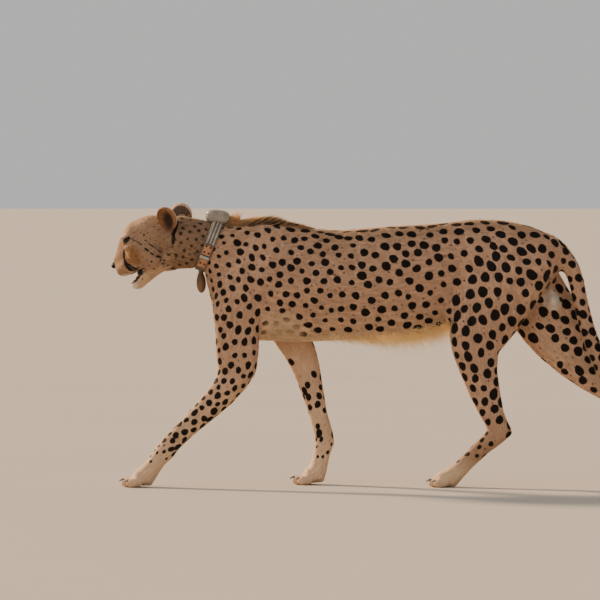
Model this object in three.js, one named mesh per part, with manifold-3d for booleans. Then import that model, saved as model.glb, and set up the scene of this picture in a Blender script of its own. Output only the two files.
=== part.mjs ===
// A walking cheetah at life size, in millimetres, +Z up. It walks towards -X, so its left side faces -Y.
// The floor is Z = 0, and the finished group is centred over the floor below its bounding box.
import * as THREE from "three";
import { mergeVertices } from "three/addons/utils/BufferGeometryUtils.js";
import Module from "manifold-3d";

const wasm = await Module();
wasm.setup();

// ---- Driving sizes ----
const GAP = 0.3; // clearance between neighbouring solids
const GROW = 0.35; // how far a solid is swollen before it cuts its neighbour
const TURN = 2 * Math.PI;
const DEG = Math.PI / 180;

const TRUNK_SIDES = 18;
const LEG_SIDES = 10;
const TAIL = { base: 31, middle: 24, tip: 19, sides: 10 };
const SOLE_SINK = 2; // how far the pads reach below the floor before they are trimmed flat on it

const HEAD = { pitch: 15, yaw: 22, roll: 5, middle: [-605.5, 38, 690.5], rings: 17, sides: 20 }; // between the eyes
const EYE = { radius: 14.5, ahead: 1, out: 35, up: -3 };
const EAR = { ahead: -136, out: 53, up: 29, width: 33, height: 36, depth: 19, wall: 5, turn: 74, lean: 12 };
const TESTICLES = { at: [571, 0, 516], size: [27, 27, 29] };

const LEG = { forearm: 290, pastern: 96, toes: 66, shank: 272, cannon: 176, hindToes: 80 };
const PAW = { knuckle: 36, toeTip: 15 }; // heights of the knuckle joints and of the toe tips
const CLAW = { length: 17, radius: 3.2, sides: 4 };

const BAND = { width: 31, thick: 4, sunk: 1.5 }; // the collar's belt, pressed into the coat

// ---- Materials ----
const paint = (colour, roughness, metalness = 0) =>
  new THREE.MeshStandardMaterial({ color: colour, roughness, metalness });
const COAT = paint(0xc09468, 0.85);
const EAR_COAT = paint(0x8a6a48, 0.85);
const EYEBALL = paint(0x6b3d14, 0.15);
const NOSE_SKIN = paint(0x1b1615, 0.5);
const TONGUE_SKIN = paint(0x9c5552, 0.5);
const CLAW_HORN = paint(0x2b211a, 0.4);
const WEBBING = paint(0x6f6254, 0.8);
const POD_RESIN = paint(0xa08a70, 0.6);
const LEATHER = paint(0xb98a64, 0.6);
const STEEL = paint(0xb9bcc0, 0.35, 0.9);

// ---- Solid helpers ----
const V = (x, y, z) => new THREE.Vector3(x, y, z);
const mix = (a, b, t) => a + (b - a) * t;
const table = (keys, rows) => rows.map((row) => Object.fromEntries(keys.map((key, i) => [key, row[i]])));

// A geometry as a closed solid with its faces pointing out.
function solidFrom(geometry) {
  const bare = geometry.clone();
  bare.deleteAttribute("normal");
  bare.deleteAttribute("uv");
  const merged = mergeVertices(bare, 1e-3);
  const at = merged.attributes.position;
  const triVerts = new Uint32Array(merged.index.array);
  const [a, b, c] = [V(), V(), V()];
  let volume = 0;
  for (let i = 0; i < triVerts.length; i += 3) {
    [a, b, c].forEach((corner, k) => corner.fromBufferAttribute(at, triVerts[i + k]));
    volume += a.dot(b.cross(c));
  }
  if (volume < 0) for (let i = 0; i < triVerts.length; i += 3) triVerts.subarray(i, i + 3).reverse();
  return new wasm.Manifold(new wasm.Mesh({ numProp: 3, vertProperties: at.array, triVerts }));
}

// A closed skin over rings of points, with a fan over each end.
function loft(rings) {
  const sides = rings[0].length;
  const points = rings.flat();
  const faces = [];
  for (let i = 0; i < rings.length - 1; i++)
    for (let j = 0; j < sides; j++) {
      const a = i * sides + j;
      const b = i * sides + ((j + 1) % sides);
      faces.push(a, b, a + sides, b, b + sides, a + sides);
    }
  const middle = (ring) => ring.reduce((sum, p) => sum.add(p), V()).divideScalar(sides);
  const first = points.push(middle(rings[0])) - 1;
  const last = points.push(middle(rings.at(-1))) - 1;
  const end = (rings.length - 1) * sides;
  for (let j = 0; j < sides; j++) {
    const k = (j + 1) % sides;
    faces.push(first, k, j, last, end + j, end + k);
  }
  const geometry = new THREE.BufferGeometry().setFromPoints(points);
  geometry.setIndex(faces);
  return solidFrom(geometry);
}

// A ring round `centre`: `half` to each side along `across`, `ahead` and `behind` along `fore`.
// A power of 2 gives an ellipse, less a sharper ring and more a squarer one.
function ring({ centre, across, fore, half, ahead, behind, power = 2, powerBehind = power, sides }) {
  return Array.from({ length: sides }, (_, j) => {
    const [c, s] = [Math.cos((TURN * j) / sides), Math.sin((TURN * j) / sides)];
    const bend = (value) => Math.sign(value) * Math.abs(value) ** (2 / (s > 0 ? power : powerBehind));
    const point = centre.clone().addScaledVector(across, half * bend(c));
    return point.addScaledVector(fore, (s > 0 ? ahead : behind) * bend(s));
  });
}

// The solid swollen so that every face moves out by at least GROW, up to a limit at sharp corners.
function grown(solid) {
  const mesh = solid.getMesh();
  const geometry = new THREE.BufferGeometry();
  geometry.setAttribute("position", new THREE.BufferAttribute(mesh.vertProperties.slice(), 3));
  geometry.setIndex([...mesh.triVerts]);
  geometry.computeVertexNormals();
  const { position, normal } = geometry.attributes;
  const facing = new Float32Array(position.count).fill(1);
  const [a, b, c, n] = [V(), V(), V(), V()];
  for (let i = 0; i < mesh.triVerts.length; i += 3) {
    const corners = mesh.triVerts.subarray(i, i + 3);
    [a, b, c].forEach((corner, k) => corner.fromBufferAttribute(position, corners[k]));
    const face = c.clone().sub(b).cross(a.clone().sub(b)).normalize();
    for (const k of corners) facing[k] = Math.min(facing[k], Math.max(n.fromBufferAttribute(normal, k).dot(face), 0.3));
  }
  for (let i = 0; i < position.count; i++)
    for (let k = 0; k < 3; k++) position.array[3 * i + k] += (GROW * normal.array[3 * i + k]) / facing[i];
  return solidFrom(geometry);
}

// The largest piece of a solid, which drops slivers that a cut has left.
const largest = (solid) => solid.decompose().reduce((best, piece) => (piece.volume() > best.volume() ? piece : best));
const without = (solid, ...others) => largest(others.reduce((rest, other) => rest.subtract(grown(other)), solid));

// The two sides of a thin cut through a point: the part against the direction, then the part along it.
function part(solid, point, direction) {
  const unit = direction.clone().normalize();
  const offset = unit.dot(point);
  const past = solid.trimByPlane(unit.toArray(), offset + GAP / 2);
  const before = solid.trimByPlane(unit.clone().negate().toArray(), -offset + GAP / 2);
  return [largest(before), largest(past)];
}

// An ellipsoid with its long directions along three unit vectors.
function ellipsoid(centre, size, basis, sides = 12) {
  const geometry = new THREE.SphereGeometry(1, sides, Math.round(sides * 0.6));
  geometry.applyMatrix4(new THREE.Matrix4().makeScale(...size));
  if (basis) geometry.applyMatrix4(basis);
  geometry.translate(centre.x, centre.y, centre.z);
  return solidFrom(geometry);
}

const group = new THREE.Group();
const solids = {};
function addNode(name, solid, material) {
  const mesh = solid.getMesh();
  const geometry = new THREE.BufferGeometry();
  geometry.setAttribute("position", new THREE.BufferAttribute(mesh.vertProperties.slice(), 3));
  geometry.setIndex([...mesh.triVerts]);
  const made = new THREE.Mesh(geometry, material);
  made.name = name;
  group.add(made);
  solids[name] = solid;
}

// ---- Legs ----
// The joints in the side view, from the blade's top or the hip bone's crest down to the toe tip. The
// lower bones have fixed lengths: `forearm` and `shank` are their angles ahead of straight down.
const reach = (from, length, forward) => [
  from[0] - length * Math.sin(forward * DEG),
  from[1] - length * Math.cos(forward * DEG),
];
const down = (from, length, height) => Math.acos((from[1] - height) / length) / DEG;

function foreJoints({ blade, shoulder, elbow, forearm }) {
  const wrist = reach(elbow, LEG.forearm, forearm);
  const knuckle = reach(wrist, LEG.pastern, down(wrist, LEG.pastern, PAW.knuckle));
  return [blade, shoulder, elbow, wrist, knuckle, reach(knuckle, LEG.toes, down(knuckle, LEG.toes, PAW.toeTip))];
}
function hindJoints({ crest, hip, stifle, shank, cannon }) {
  const hock = reach(stifle, LEG.shank, shank);
  const knuckle = reach(hock, LEG.cannon, cannon);
  return [crest, hip, stifle, hock, knuckle, reach(knuckle, LEG.hindToes, down(knuckle, LEG.hindToes, PAW.toeTip))];
}
const FORE_OUT = [40, 60, 67, 62, 58, 58]; // each joint's distance from the mid-plane
const HIND_OUT = [46, 50, 60, 60, 58, 58];

// How far the flesh reaches ahead of the bone, behind it and to each side, at a share of the way along
// it. `level` of 1 keeps a section horizontal, and 0 sets it square across the limb.
const FLESH_KEYS = ["along", "ahead", "behind", "half", "level"];
const FORE_FLESH = table(FLESH_KEYS, [
  [0.02, 34, 40, 20, 1], // top of the blade
  [0.35, 62, 66, 31, 1],
  [0.75, 60, 92, 38, 1],
  [1.1, 44, 104, 42, 1], // point of the shoulder
  [1.4, 50, 88, 41, 1],
  [1.7, 62, 66, 38, 0.9],
  [1.95, 70, 46, 35, 0.7], // elbow
  [2.12, 56, 44, 34, 0.3],
  [2.3, 42, 44, 31, 0],
  [2.52, 35, 37, 28, 0],
  [2.75, 29, 30, 25, 0],
  [2.95, 27, 30, 26, 0], // wrist
  [3.14, 26, 34, 27, 0], // wrist pad
  [3.45, 25, 27, 28, 0],
  [3.8, 27, 28, 33, 0],
  [4.1, 28, 37, 35, 0], // knuckles, and the pad behind the toes
  [4.4, 22, 27, 33, 0],
  [4.62, 10, 14, 18, 0],
]);
const HIND_FLESH = table(FLESH_KEYS, [
  [0.08, 46, 74, 22, 1], // over the hip bone
  [0.5, 104, 118, 38, 1],
  [1.02, 160, 112, 47, 1], // hip joint
  [1.36, 126, 136, 49, 1],
  [1.66, 92, 146, 48, 1],
  [1.93, 54, 142, 44, 1], // stifle
  [2.14, 46, 92, 38, 0.7],
  [2.36, 45, 68, 32, 0.4],
  [2.6, 42, 52, 27, 0.2],
  [2.82, 37, 44, 23, 0.1],
  [2.99, 31, 48, 23, 0], // hock
  [3.14, 27, 38, 23, 0],
  [3.36, 24, 28, 22, 0],
  [3.62, 22, 26, 23, 0],
  [3.85, 23, 27, 28, 0],
  [4.1, 25, 37, 31, 0], // knuckles, and the pad behind the toes
  [4.4, 20, 26, 30, 0],
  [4.62, 9, 13, 17, 0],
]);

// The limb's direction: along a bone at its middle, halfway between two bones at their joint.
function limbDirection(joints, along) {
  const bone = Math.min(Math.floor(along), 4);
  const t = along - bone;
  const run = (k) => V(joints[k + 1][0] - joints[k][0], 0, joints[k + 1][1] - joints[k][1]).normalize();
  const neighbour = run(t < 0.5 ? Math.max(bone - 1, 0) : Math.min(bone + 1, 4));
  return run(bone).lerp(neighbour, Math.abs(t - 0.5)).normalize();
}
function limbPoint(joints, outs, side, along) {
  const bone = Math.min(Math.floor(along), 4);
  const at = (values) => mix(values[bone], values[bone + 1], along - bone);
  return V(at(joints.map((joint) => joint[0])), side * at(outs), at(joints.map((joint) => joint[1])));
}
function limbRing(joints, outs, side, row) {
  const direction = limbDirection(joints, row.along);
  const angle = mix(Math.atan2(-direction.x, -direction.z), 0, row.level);
  return ring({
    ...row,
    centre: limbPoint(joints, outs, side, row.along),
    across: V(0, 1, 0),
    fore: V(-Math.cos(angle), 0, Math.sin(angle)),
    power: 2.2,
    sides: LEG_SIDES,
  });
}

// Four toes fan out from the knuckles, the middle two ahead. Each ends in a claw.
const TOES = [-1.5, -0.5, 0.5, 1.5];
function toesAndClaws(joints, outs, side, scale) {
  const knuckle = limbPoint(joints, outs, side, 4);
  const toes = [];
  const claws = [];
  for (const place of TOES) {
    const outer = Math.abs(place) > 1;
    const fan = place * 5 * DEG;
    const forward = V(-Math.cos(fan), Math.sin(fan), 0);
    const length = scale * (outer ? 27 : 31);
    const centre = knuckle.clone().addScaledVector(forward, scale * (outer ? 32 : 44));
    centre.y = knuckle.y + place * 17.5 * scale + Math.sin(fan) * length;
    centre.z = scale * 15 - SOLE_SINK;
    const dip = 10 * DEG;
    const ahead = forward.clone().multiplyScalar(Math.cos(dip)).add(V(0, 0, -Math.sin(dip)));
    const across = V(-forward.y, forward.x, 0);
    const basis = new THREE.Matrix4().makeBasis(ahead, across, ahead.clone().cross(across));
    toes.push(ellipsoid(centre, [length, scale * 11.5, scale * 16], basis, 6));
    claws.push(clawFrom(centre.clone().addScaledVector(forward, length - 5).add(V(0, 0, 6)), forward));
  }
  return { toes, claws };
}

// A claw curves forward and down from its root, to a blunt point clear of the floor.
function clawFrom(root, forward) {
  const across = V(-forward.y, forward.x, 0);
  const rings = [0, 0.55, 1].map((t) => {
    const drop = (10 + 45 * t) * DEG;
    const direction = forward.clone().multiplyScalar(Math.cos(drop)).add(V(0, 0, -Math.sin(drop)));
    const centre = root.clone().addScaledVector(forward, CLAW.length * t).add(V(0, 0, -7 * t * t));
    const size = CLAW.radius * (1 - 0.85 * t ** 1.5);
    const fore = across.clone().cross(direction).normalize();
    return ring({ centre, across, fore, half: size * 0.7, ahead: size, behind: size, sides: CLAW.sides });
  });
  return loft(rings);
}

function makeLeg({ pose, jointsOf, outs, flesh, side, scale, cuts, label }) {
  const joints = jointsOf(pose);
  const rings = flesh.map((row) => limbRing(joints, outs, side, row));
  const { toes, claws } = toesAndClaws(joints, outs, side, scale);
  const whole = toes.reduce((all, toe) => all.add(toe), loft(rings)).trimByPlane([0, 0, 1], 0);
  let rest = whole;
  const names = Object.keys(cuts);
  names.forEach((name, i) => {
    const along = cuts[name];
    let piece = rest;
    if (along) [piece, rest] = part(rest, limbPoint(joints, outs, side, along), limbDirection(joints, along));
    addNode(`${label}_${name}`, piece, COAT);
    if (i === names.length - 1) {
      const paw = piece;
      claws.forEach((claw, k) => addNode(`${label}_claw_${k + 1}`, without(claw, paw), CLAW_HORN));
    }
  });
  return whole;
}

const FORE = { jointsOf: foreJoints, outs: FORE_OUT, flesh: FORE_FLESH, scale: 1, cuts: { upper_arm: 2, forearm: 3, paw: 0 } };
const HIND = {
  jointsOf: hindJoints,
  outs: HIND_OUT,
  flesh: HIND_FLESH,
  scale: 0.93,
  cuts: { thigh: 2, shank: 3, cannon: 3.8, paw: 0 },
};
const POSES = {
  fore_left: { blade: [-216, 732], shoulder: [-352, 512], elbow: [-300, 314], forearm: 46.2 },
  fore_right: { blade: [-196, 734], shoulder: [-312, 536], elbow: [-143.6, 410.5], forearm: -14.7 },
  hind_left: { crest: [350, 712], hip: [474, 622], stifle: [315, 409], shank: -21, cannon: 45.8 },
  hind_right: { crest: [350, 712], hip: [474, 622], stifle: [548, 384], shank: -56, cannon: -12 },
};
const legs = Object.entries(POSES).map(([label, pose]) => {
  const side = label.endsWith("left") ? -1 : 1;
  return makeLeg({ ...(label.startsWith("fore") ? FORE : HIND), pose, side, label });
});

// ---- Head ----
const HEAD_FRAME = (() => {
  const [pitch, yaw] = [HEAD.pitch * DEG, HEAD.yaw * DEG];
  const ahead = V(-Math.cos(yaw) * Math.cos(pitch), Math.sin(yaw) * Math.cos(pitch), -Math.sin(pitch));
  const left = V(-Math.sin(yaw), -Math.cos(yaw), 0).applyAxisAngle(ahead, -HEAD.roll * DEG);
  return { ahead, left, up: ahead.clone().cross(left) };
})();
const HEAD_BASIS = new THREE.Matrix4().makeBasis(HEAD_FRAME.ahead, HEAD_FRAME.left, HEAD_FRAME.up);
const HEAD_PLACE = HEAD_BASIS.clone().setPosition(...HEAD.middle);
const inHead = (ahead, left, up) => V(ahead, left, up).applyMatrix4(HEAD_PLACE);

// Rounded masses, in the head's own axes: how far ahead, out to each side and up, then half-sizes.
const HEAD_MASSES = table(["at", "size"], [
  [[-52, 0, -2], [74, 52, 56]], // brain case
  [[-8, 0, 7], [37, 43, 40]], // brow
  [[14, 0, -42], [50, 38, 45]], // cheekbones and upper jaw
  [[26, 0, -4], [20, 17, 22]], // bridge of the nose, in three steps
  [[42, 0, -24], [20, 16, 20]],
  [[58, 0, -42], [21, 15, 17]],
  [[43, 18, -75], [27, 20, 21]], // whisker pad
  [[-26, 41, -36], [40, 26, 34]], // cheek
  [[-52, 35, -62], [38, 28, 40]], // jaw muscle
  [[6, 27, -66], [32, 14, 22]], // upper lip, back to the corner of the mouth
  [[-100, 0, -82], [44, 42, 36]], // throat
  [[-108, 0, -8], [38, 44, 48]], // back of the head
]);
const MASS_BLEND = 17;

// Signed distance to the joined masses, negative inside.
function headDistance(ahead, out, up) {
  let joined = Infinity;
  for (const { at, size } of HEAD_MASSES)
    for (const side of at[1] ? [-1, 1] : [1]) {
      const [x, y, z] = [ahead - at[0], out - side * at[1], up - at[2]];
      const k = Math.hypot(x / size[0], y / size[1], z / size[2]);
      const slope = Math.hypot(x / size[0] ** 2, y / size[1] ** 2, z / size[2] ** 2);
      const distance = slope > 0 ? (k * (k - 1)) / slope : -Math.min(...size);
      const near = Math.max(MASS_BLEND - Math.abs(joined - distance), 0) / MASS_BLEND;
      joined = Math.min(joined, distance) - (near * near * MASS_BLEND) / 4;
    }
  return joined;
}

// Rays leave a line through the head and swing from straight back, past sideways, to straight ahead.
function headSkin() {
  const rings = [];
  for (let i = 0; i < HEAD.rings; i++) {
    const t = (i + 0.35) / (HEAD.rings - 0.3);
    const swing = Math.PI * (1 - t);
    const start = [mix(-98, 38, t * t * (3 - 2 * t)), mix(-12, -58, t)];
    const points = Array.from({ length: HEAD.sides }, (_, j) => {
      const angle = (TURN * j) / HEAD.sides;
      const step = [Math.cos(swing), Math.sin(swing) * Math.cos(angle), Math.sin(swing) * Math.sin(angle)];
      const place = (r) => [start[0] + r * step[0], r * step[1], start[1] + r * step[2]];
      let [low, high] = [0, 160];
      while (high - low > 0.05) {
        const r = (low + high) / 2;
        if (headDistance(...place(r)) < 0) low = r;
        else high = r;
      }
      return inHead(...place(low));
    });
    rings.push(points);
  }
  return loft(rings);
}

const JAW_ROWS = table(["ahead", "up", "above", "below", "half"], [
  [-84, -84, 18, 20, 36],
  [-60, -93, 20, 17, 42],
  [-28, -105, 17, 15, 36],
  [-3, -112, 13, 19, 29],
  [15, -118, 10, 19, 24],
  [30, -123, 8, 16, 19],
  [38, -126, 4, 10, 11],
]);
const JAW_DROP = -25 * DEG;
function jawSkin() {
  const fore = V(-Math.sin(JAW_DROP), 0, Math.cos(JAW_DROP)).applyMatrix4(HEAD_BASIS);
  return loft(
    JAW_ROWS.map(({ ahead, up, above, below, half }) =>
      ring({
        centre: inHead(ahead, 0, up),
        across: HEAD_FRAME.left,
        fore,
        half,
        ahead: above,
        behind: below,
        power: 2.6,
        powerBehind: 2,
        sides: 12,
      }),
    ),
  );
}

// A round cup: an outer shell less a smaller one set forward. It opens `turn` degrees out from ahead.
function earCup(side) {
  const [turn, lean] = [EAR.turn * DEG, EAR.lean * DEG];
  const open = V(Math.cos(turn), side * Math.sin(turn), 0);
  const across = V(-side * Math.sin(turn), Math.cos(turn), 0).multiplyScalar(side);
  const tilt = new THREE.Matrix4().makeRotationAxis(V(1, 0, 0), -side * lean);
  const basis = HEAD_BASIS.clone().multiply(tilt);
  basis.multiply(new THREE.Matrix4().makeBasis(open, across, open.clone().cross(across)));
  const centre = inHead(EAR.ahead, side * EAR.out, EAR.up);
  const inner = centre.clone().add(V(EAR.wall + 5, 0, 0).applyMatrix4(basis));
  const shrunk = [EAR.depth - 2, EAR.width - EAR.wall, EAR.height - EAR.wall];
  const outer = ellipsoid(centre, [EAR.depth, EAR.width, EAR.height], basis, 11);
  const opening = V(1, 0, 0).applyMatrix4(basis);
  const [back] = part(outer, centre.clone().addScaledVector(opening, 6), opening);
  return back.subtract(ellipsoid(inner, shrunk, basis, 9));
}

const eyes = {};
for (const [label, side] of [["left", 1], ["right", -1]])
  eyes[label] = ellipsoid(inHead(EYE.ahead, side * EYE.out, EYE.up), Array(3).fill(EYE.radius), HEAD_BASIS, 10);
const nosePad = ellipsoid(inHead(77, 0, -56), [10, 15, 10], HEAD_BASIS, 8);
const wholeHead = headSkin();
const wholeJaw = jawSkin();
const TONGUE_BASIS = HEAD_BASIS.clone().multiply(new THREE.Matrix4().makeRotationY(-JAW_DROP - 4 * DEG));
const tongue = ellipsoid(inHead(2, 0, -100), [32, 14, 6], TONGUE_BASIS, 10);
// ---- Neck, trunk and tail ----
// Each row is one slanting section: its top and bottom in the side view, how far it stands off the
// mid-plane, half its width, the share of its height at which it is widest, and how square it is above
// and below that.
const BODY_KEYS = ["topX", "topZ", "lowX", "lowZ", "off", "half", "wide", "above", "below"];
const BODY_ROWS = table(BODY_KEYS, [
  [-520, 758, -512, 606, 8, 56, 0.5, 2.1, 2.0], // inside the back of the head
  [-470, 760, -482, 604, 4, 60, 0.5, 2.1, 2.0], // nape
  [-430, 752, -450, 606, 1, 61, 0.5, 2.1, 2.0],
  [-370, 740, -418, 606, 0, 64, 0.48, 2.0, 2.0], // collar
  [-330, 741, -400, 556, 0, 72, 0.46, 1.9, 2.0],
  [-285, 749, -389, 494, 0, 82, 0.44, 1.75, 1.9], // breast
  [-240, 756, -345, 430, 0, 86, 0.46, 1.7, 1.8], // withers
  [-182, 748, -255, 402, 0, 92, 0.48, 1.7, 1.75], // brisket
  [-106, 729, -140, 398, 0, 102, 0.5, 1.85, 1.8], // ribs
  [-28, 722, -36, 403, 0, 108, 0.5, 1.95, 1.9],
  [50, 728, 60, 405, 0, 106, 0.5, 2.0, 2.0], // last rib
  [129, 735, 158, 411, 0, 99, 0.52, 2.0, 2.0],
  [196, 738, 240, 430, 0, 91, 0.55, 2.0, 2.0], // waist
  [266, 743, 318, 458, 0, 82, 0.58, 1.9, 2.0],
  [350, 754, 405, 474, 0, 76, 0.6, 1.9, 2.0], // croup
  [428, 751, 480, 500, 0, 74, 0.62, 1.9, 2.0],
  [505, 735, 548, 540, 0, 64, 0.6, 1.9, 2.0], // rump
  [562, 711, 584, 588, 0, 44, 0.55, 1.9, 2.0],
  [596, 680, 600, 632, 0, 18, 0.5, 2.0, 2.0], // seat
]);
const BODY_CUTS = { head: [-478, 770, -505, 596], neck: [-300, 748, -397, 520], chest: [20, 730, 20, 400], belly: [262, 760, 325, 440] };
const COLLAR = { topX: -366, topZ: 741, lowX: -419, lowZ: 604, off: 0, half: 64, wide: 0.48, above: 2, below: 2 };

function bodyRing(row, grow = 0, sides = TRUNK_SIDES, shift = 0) {
  const top = V(row.topX, row.off, row.topZ);
  const low = V(row.lowX, row.off, row.lowZ);
  const height = top.distanceTo(low);
  const fore = top.clone().sub(low).normalize();
  const centre = low.clone().addScaledVector(fore, height * row.wide);
  return ring({
    centre: centre.addScaledVector(V(-fore.z, 0, fore.x), shift),
    across: V(0, 1, 0),
    fore,
    half: row.half + grow,
    ahead: height * (1 - row.wide) + grow,
    behind: height * row.wide + grow,
    power: row.above,
    powerBehind: row.below,
    sides,
  });
}

// A belt round the neck at the collar, from `inner` to `outer` beyond the neck's own outline.
function beltLoop(width, inner, outer) {
  const rows = [[inner, 1], [outer, 1], [outer, -1], [inner, -1]];
  const points = rows.flatMap(([grow, end]) => bodyRing(COLLAR, grow, TRUNK_SIDES, (end * width) / 2));
  const n = TRUNK_SIDES;
  const faces = [];
  for (let i = 0; i < 4; i++)
    for (let j = 0; j < n; j++) {
      const [a, b] = [i * n + j, i * n + ((j + 1) % n)];
      const [c, d] = [((i + 1) % 4) * n + j, ((i + 1) % 4) * n + ((j + 1) % n)];
      faces.push(a, b, c, b, d, c);
    }
  const geometry = new THREE.BufferGeometry().setFromPoints(points);
  geometry.setIndex(faces);
  return solidFrom(geometry);
}

// A plate on the belt's left side, between two heights, lying on the belt's outer face.
function beltPlate({ low, high, width, thick }) {
  const base = BAND.thick - BAND.sunk + GAP;
  const corners = (grow, shift) => {
    const points = bodyRing(COLLAR, grow, 360, shift).filter((p) => p.y < 0);
    const at = (z) => points.reduce((best, p) => (Math.abs(p.z - z) < Math.abs(best.z - z) ? p : best));
    return [0, 1, 2].map((i) => at(mix(low, high, i / 2)));
  };
  const rings = [0, 1, 2].map((i) =>
    [[0, 1], [thick, 1], [thick, -1], [0, -1]].map(([out, end]) => corners(base + out, (end * width) / 2)[i]),
  );
  return loft(rings);
}
function rivets({ low, high, width, thick }, heights) {
  const made = [];
  for (const t of heights)
    for (const end of [-1, 1]) {
      const grow = BAND.thick - BAND.sunk + GAP + thick;
      const points = bodyRing(COLLAR, grow, 360, (end * width) / 4).filter((p) => p.y < 0);
      const z = mix(low, high, t);
      const at = points.reduce((best, p) => (Math.abs(p.z - z) < Math.abs(best.z - z) ? p : best));
      made.push(ellipsoid(at, [3.2, 2, 3.2], null, 6));
    }
  return made;
}
const PLATES = {
  collar_plate_upper: { size: { low: 648, high: 673, width: 22, thick: 3 }, heights: [0.2, 0.8], material: LEATHER },
  collar_clasp: { size: { low: 638, high: 645, width: 27, thick: 5 }, heights: [], material: STEEL },
  collar_plate_lower: { size: { low: 616, high: 635, width: 24, thick: 3 }, heights: [0.5], material: LEATHER },
};

const belt = beltLoop(BAND.width, -BAND.sunk, BAND.thick - BAND.sunk);
const groove = beltLoop(BAND.width + 2 * GAP, -BAND.sunk - GAP, BAND.thick + 12);
const trunk = loft(BODY_ROWS.map((row) => bodyRing(row)));
let rest = without(trunk.add(wholeHead), eyes.left, eyes.right, nosePad, ...legs).subtract(groove);
for (const [name, [topX, topZ, lowX, lowZ]] of Object.entries(BODY_CUTS)) {
  const direction = V(topZ - lowZ, 0, lowX - topX);
  const [front, back] = part(rest, V(lowX, 0, lowZ), direction);
  rest = back;
  addNode(name, front, COAT);
}
addNode("hips", rest, COAT);

addNode("lower_jaw", without(wholeJaw, wholeHead, trunk), COAT);
addNode("tongue", without(tongue, wholeHead, wholeJaw), TONGUE_SKIN);
addNode("nose_pad", nosePad, NOSE_SKIN);
addNode("eye_left", eyes.left, EYEBALL);
addNode("eye_right", eyes.right, EYEBALL);
addNode("ear_left", without(earCup(1), wholeHead, trunk), EAR_COAT);
addNode("ear_right", without(earCup(-1), wholeHead, trunk), EAR_COAT);

const pod = ellipsoid(V(-368, 0, 752), [35, 27, 22], new THREE.Matrix4().makeRotationY(4 * DEG), 10);
const battery = ellipsoid(V(-412, 0, 571), [15, 21, 32], new THREE.Matrix4().makeRotationY(8 * DEG), 10);
addNode("collar_belt", belt, WEBBING);
addNode("collar_pod", without(pod, belt, trunk), POD_RESIN);
addNode("collar_battery", without(battery, belt, trunk), POD_RESIN);
for (const [name, { size, heights, material }] of Object.entries(PLATES)) {
  const plate = rivets(size, heights).reduce((all, rivet) => all.add(rivet), beltPlate(size));
  addNode(name, without(plate, belt), material);
}

// The tail hangs down behind the hocks, runs back and turns up a little at its tuft.
const TAIL_CURVE = new THREE.CatmullRomCurve3([
  V(552, 0, 690), V(600, 0, 652), V(630, -3, 585), V(645, -8, 515), V(667, -14, 436), V(696, -20, 355),
  V(738, -25, 272), V(794, -29, 186), V(866, -31, 132), V(942, -31, 110), V(1004, -29, 118),
]);
const TAIL_PIECES = [["tail_base", 0, 0.38], ["tail_middle", 0.38, 0.72], ["tail_tip", 0.72, 1]];
function tailRing(t) {
  const along = TAIL_CURVE.getTangentAt(t);
  const across = V(0, 1, 0).addScaledVector(along, -along.y).normalize();
  const body = t < 0.5 ? mix(TAIL.base, TAIL.middle, t * 2) : mix(TAIL.middle, TAIL.tip, t * 2 - 1);
  const end = Math.sqrt(Math.max(1 - Math.max((t - 0.93) / 0.072, 0) ** 2, 0.02));
  const size = (body + 4 * Math.exp(-(((t - 0.9) / 0.06) ** 2))) * end;
  const centre = TAIL_CURVE.getPointAt(t);
  return ring({ centre, across, fore: along.clone().cross(across), half: size, ahead: size, behind: size, sides: TAIL.sides });
}
const TAIL_RINGS = 16;
let tail = loft(Array.from({ length: TAIL_RINGS + 1 }, (_, i) => tailRing(i / TAIL_RINGS)));
for (const [name, , to] of TAIL_PIECES) {
  let length = tail;
  if (to < 1) [length, tail] = part(tail, TAIL_CURVE.getPointAt(to), TAIL_CURVE.getTangentAt(to));
  addNode(name, to < 0.5 ? without(length, solids.hips, ...legs) : length, COAT);
}

const testicles = ellipsoid(V(...TESTICLES.at), TESTICLES.size, null, 9);
addNode("scrotum", without(testicles, solids.hips, solids.tail_base, ...legs), COAT);

// Centre the group over the floor under its box.
const box = new THREE.Box3().setFromObject(group);
group.position.set(-(box.min.x + box.max.x) / 2, -(box.min.y + box.max.y) / 2, -box.min.z);

export default group;
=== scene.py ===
import math

import bmesh
import bpy
import numpy as np
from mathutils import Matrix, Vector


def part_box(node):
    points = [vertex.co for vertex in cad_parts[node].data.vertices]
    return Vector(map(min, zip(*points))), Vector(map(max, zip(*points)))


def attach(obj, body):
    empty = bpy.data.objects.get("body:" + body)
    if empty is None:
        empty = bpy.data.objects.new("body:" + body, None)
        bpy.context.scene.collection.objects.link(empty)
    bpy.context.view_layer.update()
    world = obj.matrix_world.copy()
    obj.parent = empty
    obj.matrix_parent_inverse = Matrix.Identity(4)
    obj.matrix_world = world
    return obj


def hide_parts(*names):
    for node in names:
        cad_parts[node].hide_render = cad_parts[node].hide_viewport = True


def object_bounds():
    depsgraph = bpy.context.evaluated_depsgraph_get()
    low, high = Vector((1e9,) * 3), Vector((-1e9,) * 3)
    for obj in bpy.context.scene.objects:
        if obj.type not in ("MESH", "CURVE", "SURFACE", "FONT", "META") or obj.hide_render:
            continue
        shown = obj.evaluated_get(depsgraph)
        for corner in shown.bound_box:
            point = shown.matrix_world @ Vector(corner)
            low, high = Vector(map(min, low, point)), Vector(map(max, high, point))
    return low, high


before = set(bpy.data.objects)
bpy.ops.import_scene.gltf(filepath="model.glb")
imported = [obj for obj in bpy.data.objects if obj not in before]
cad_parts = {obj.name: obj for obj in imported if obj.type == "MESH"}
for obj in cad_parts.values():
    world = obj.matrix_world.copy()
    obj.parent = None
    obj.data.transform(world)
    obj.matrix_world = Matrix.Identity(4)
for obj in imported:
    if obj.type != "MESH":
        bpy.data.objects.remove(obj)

import openvdb as vdb
from mathutils import Vector
from mathutils.kdtree import KDTree

MM = 0.001
rng = np.random.default_rng(11)


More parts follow.
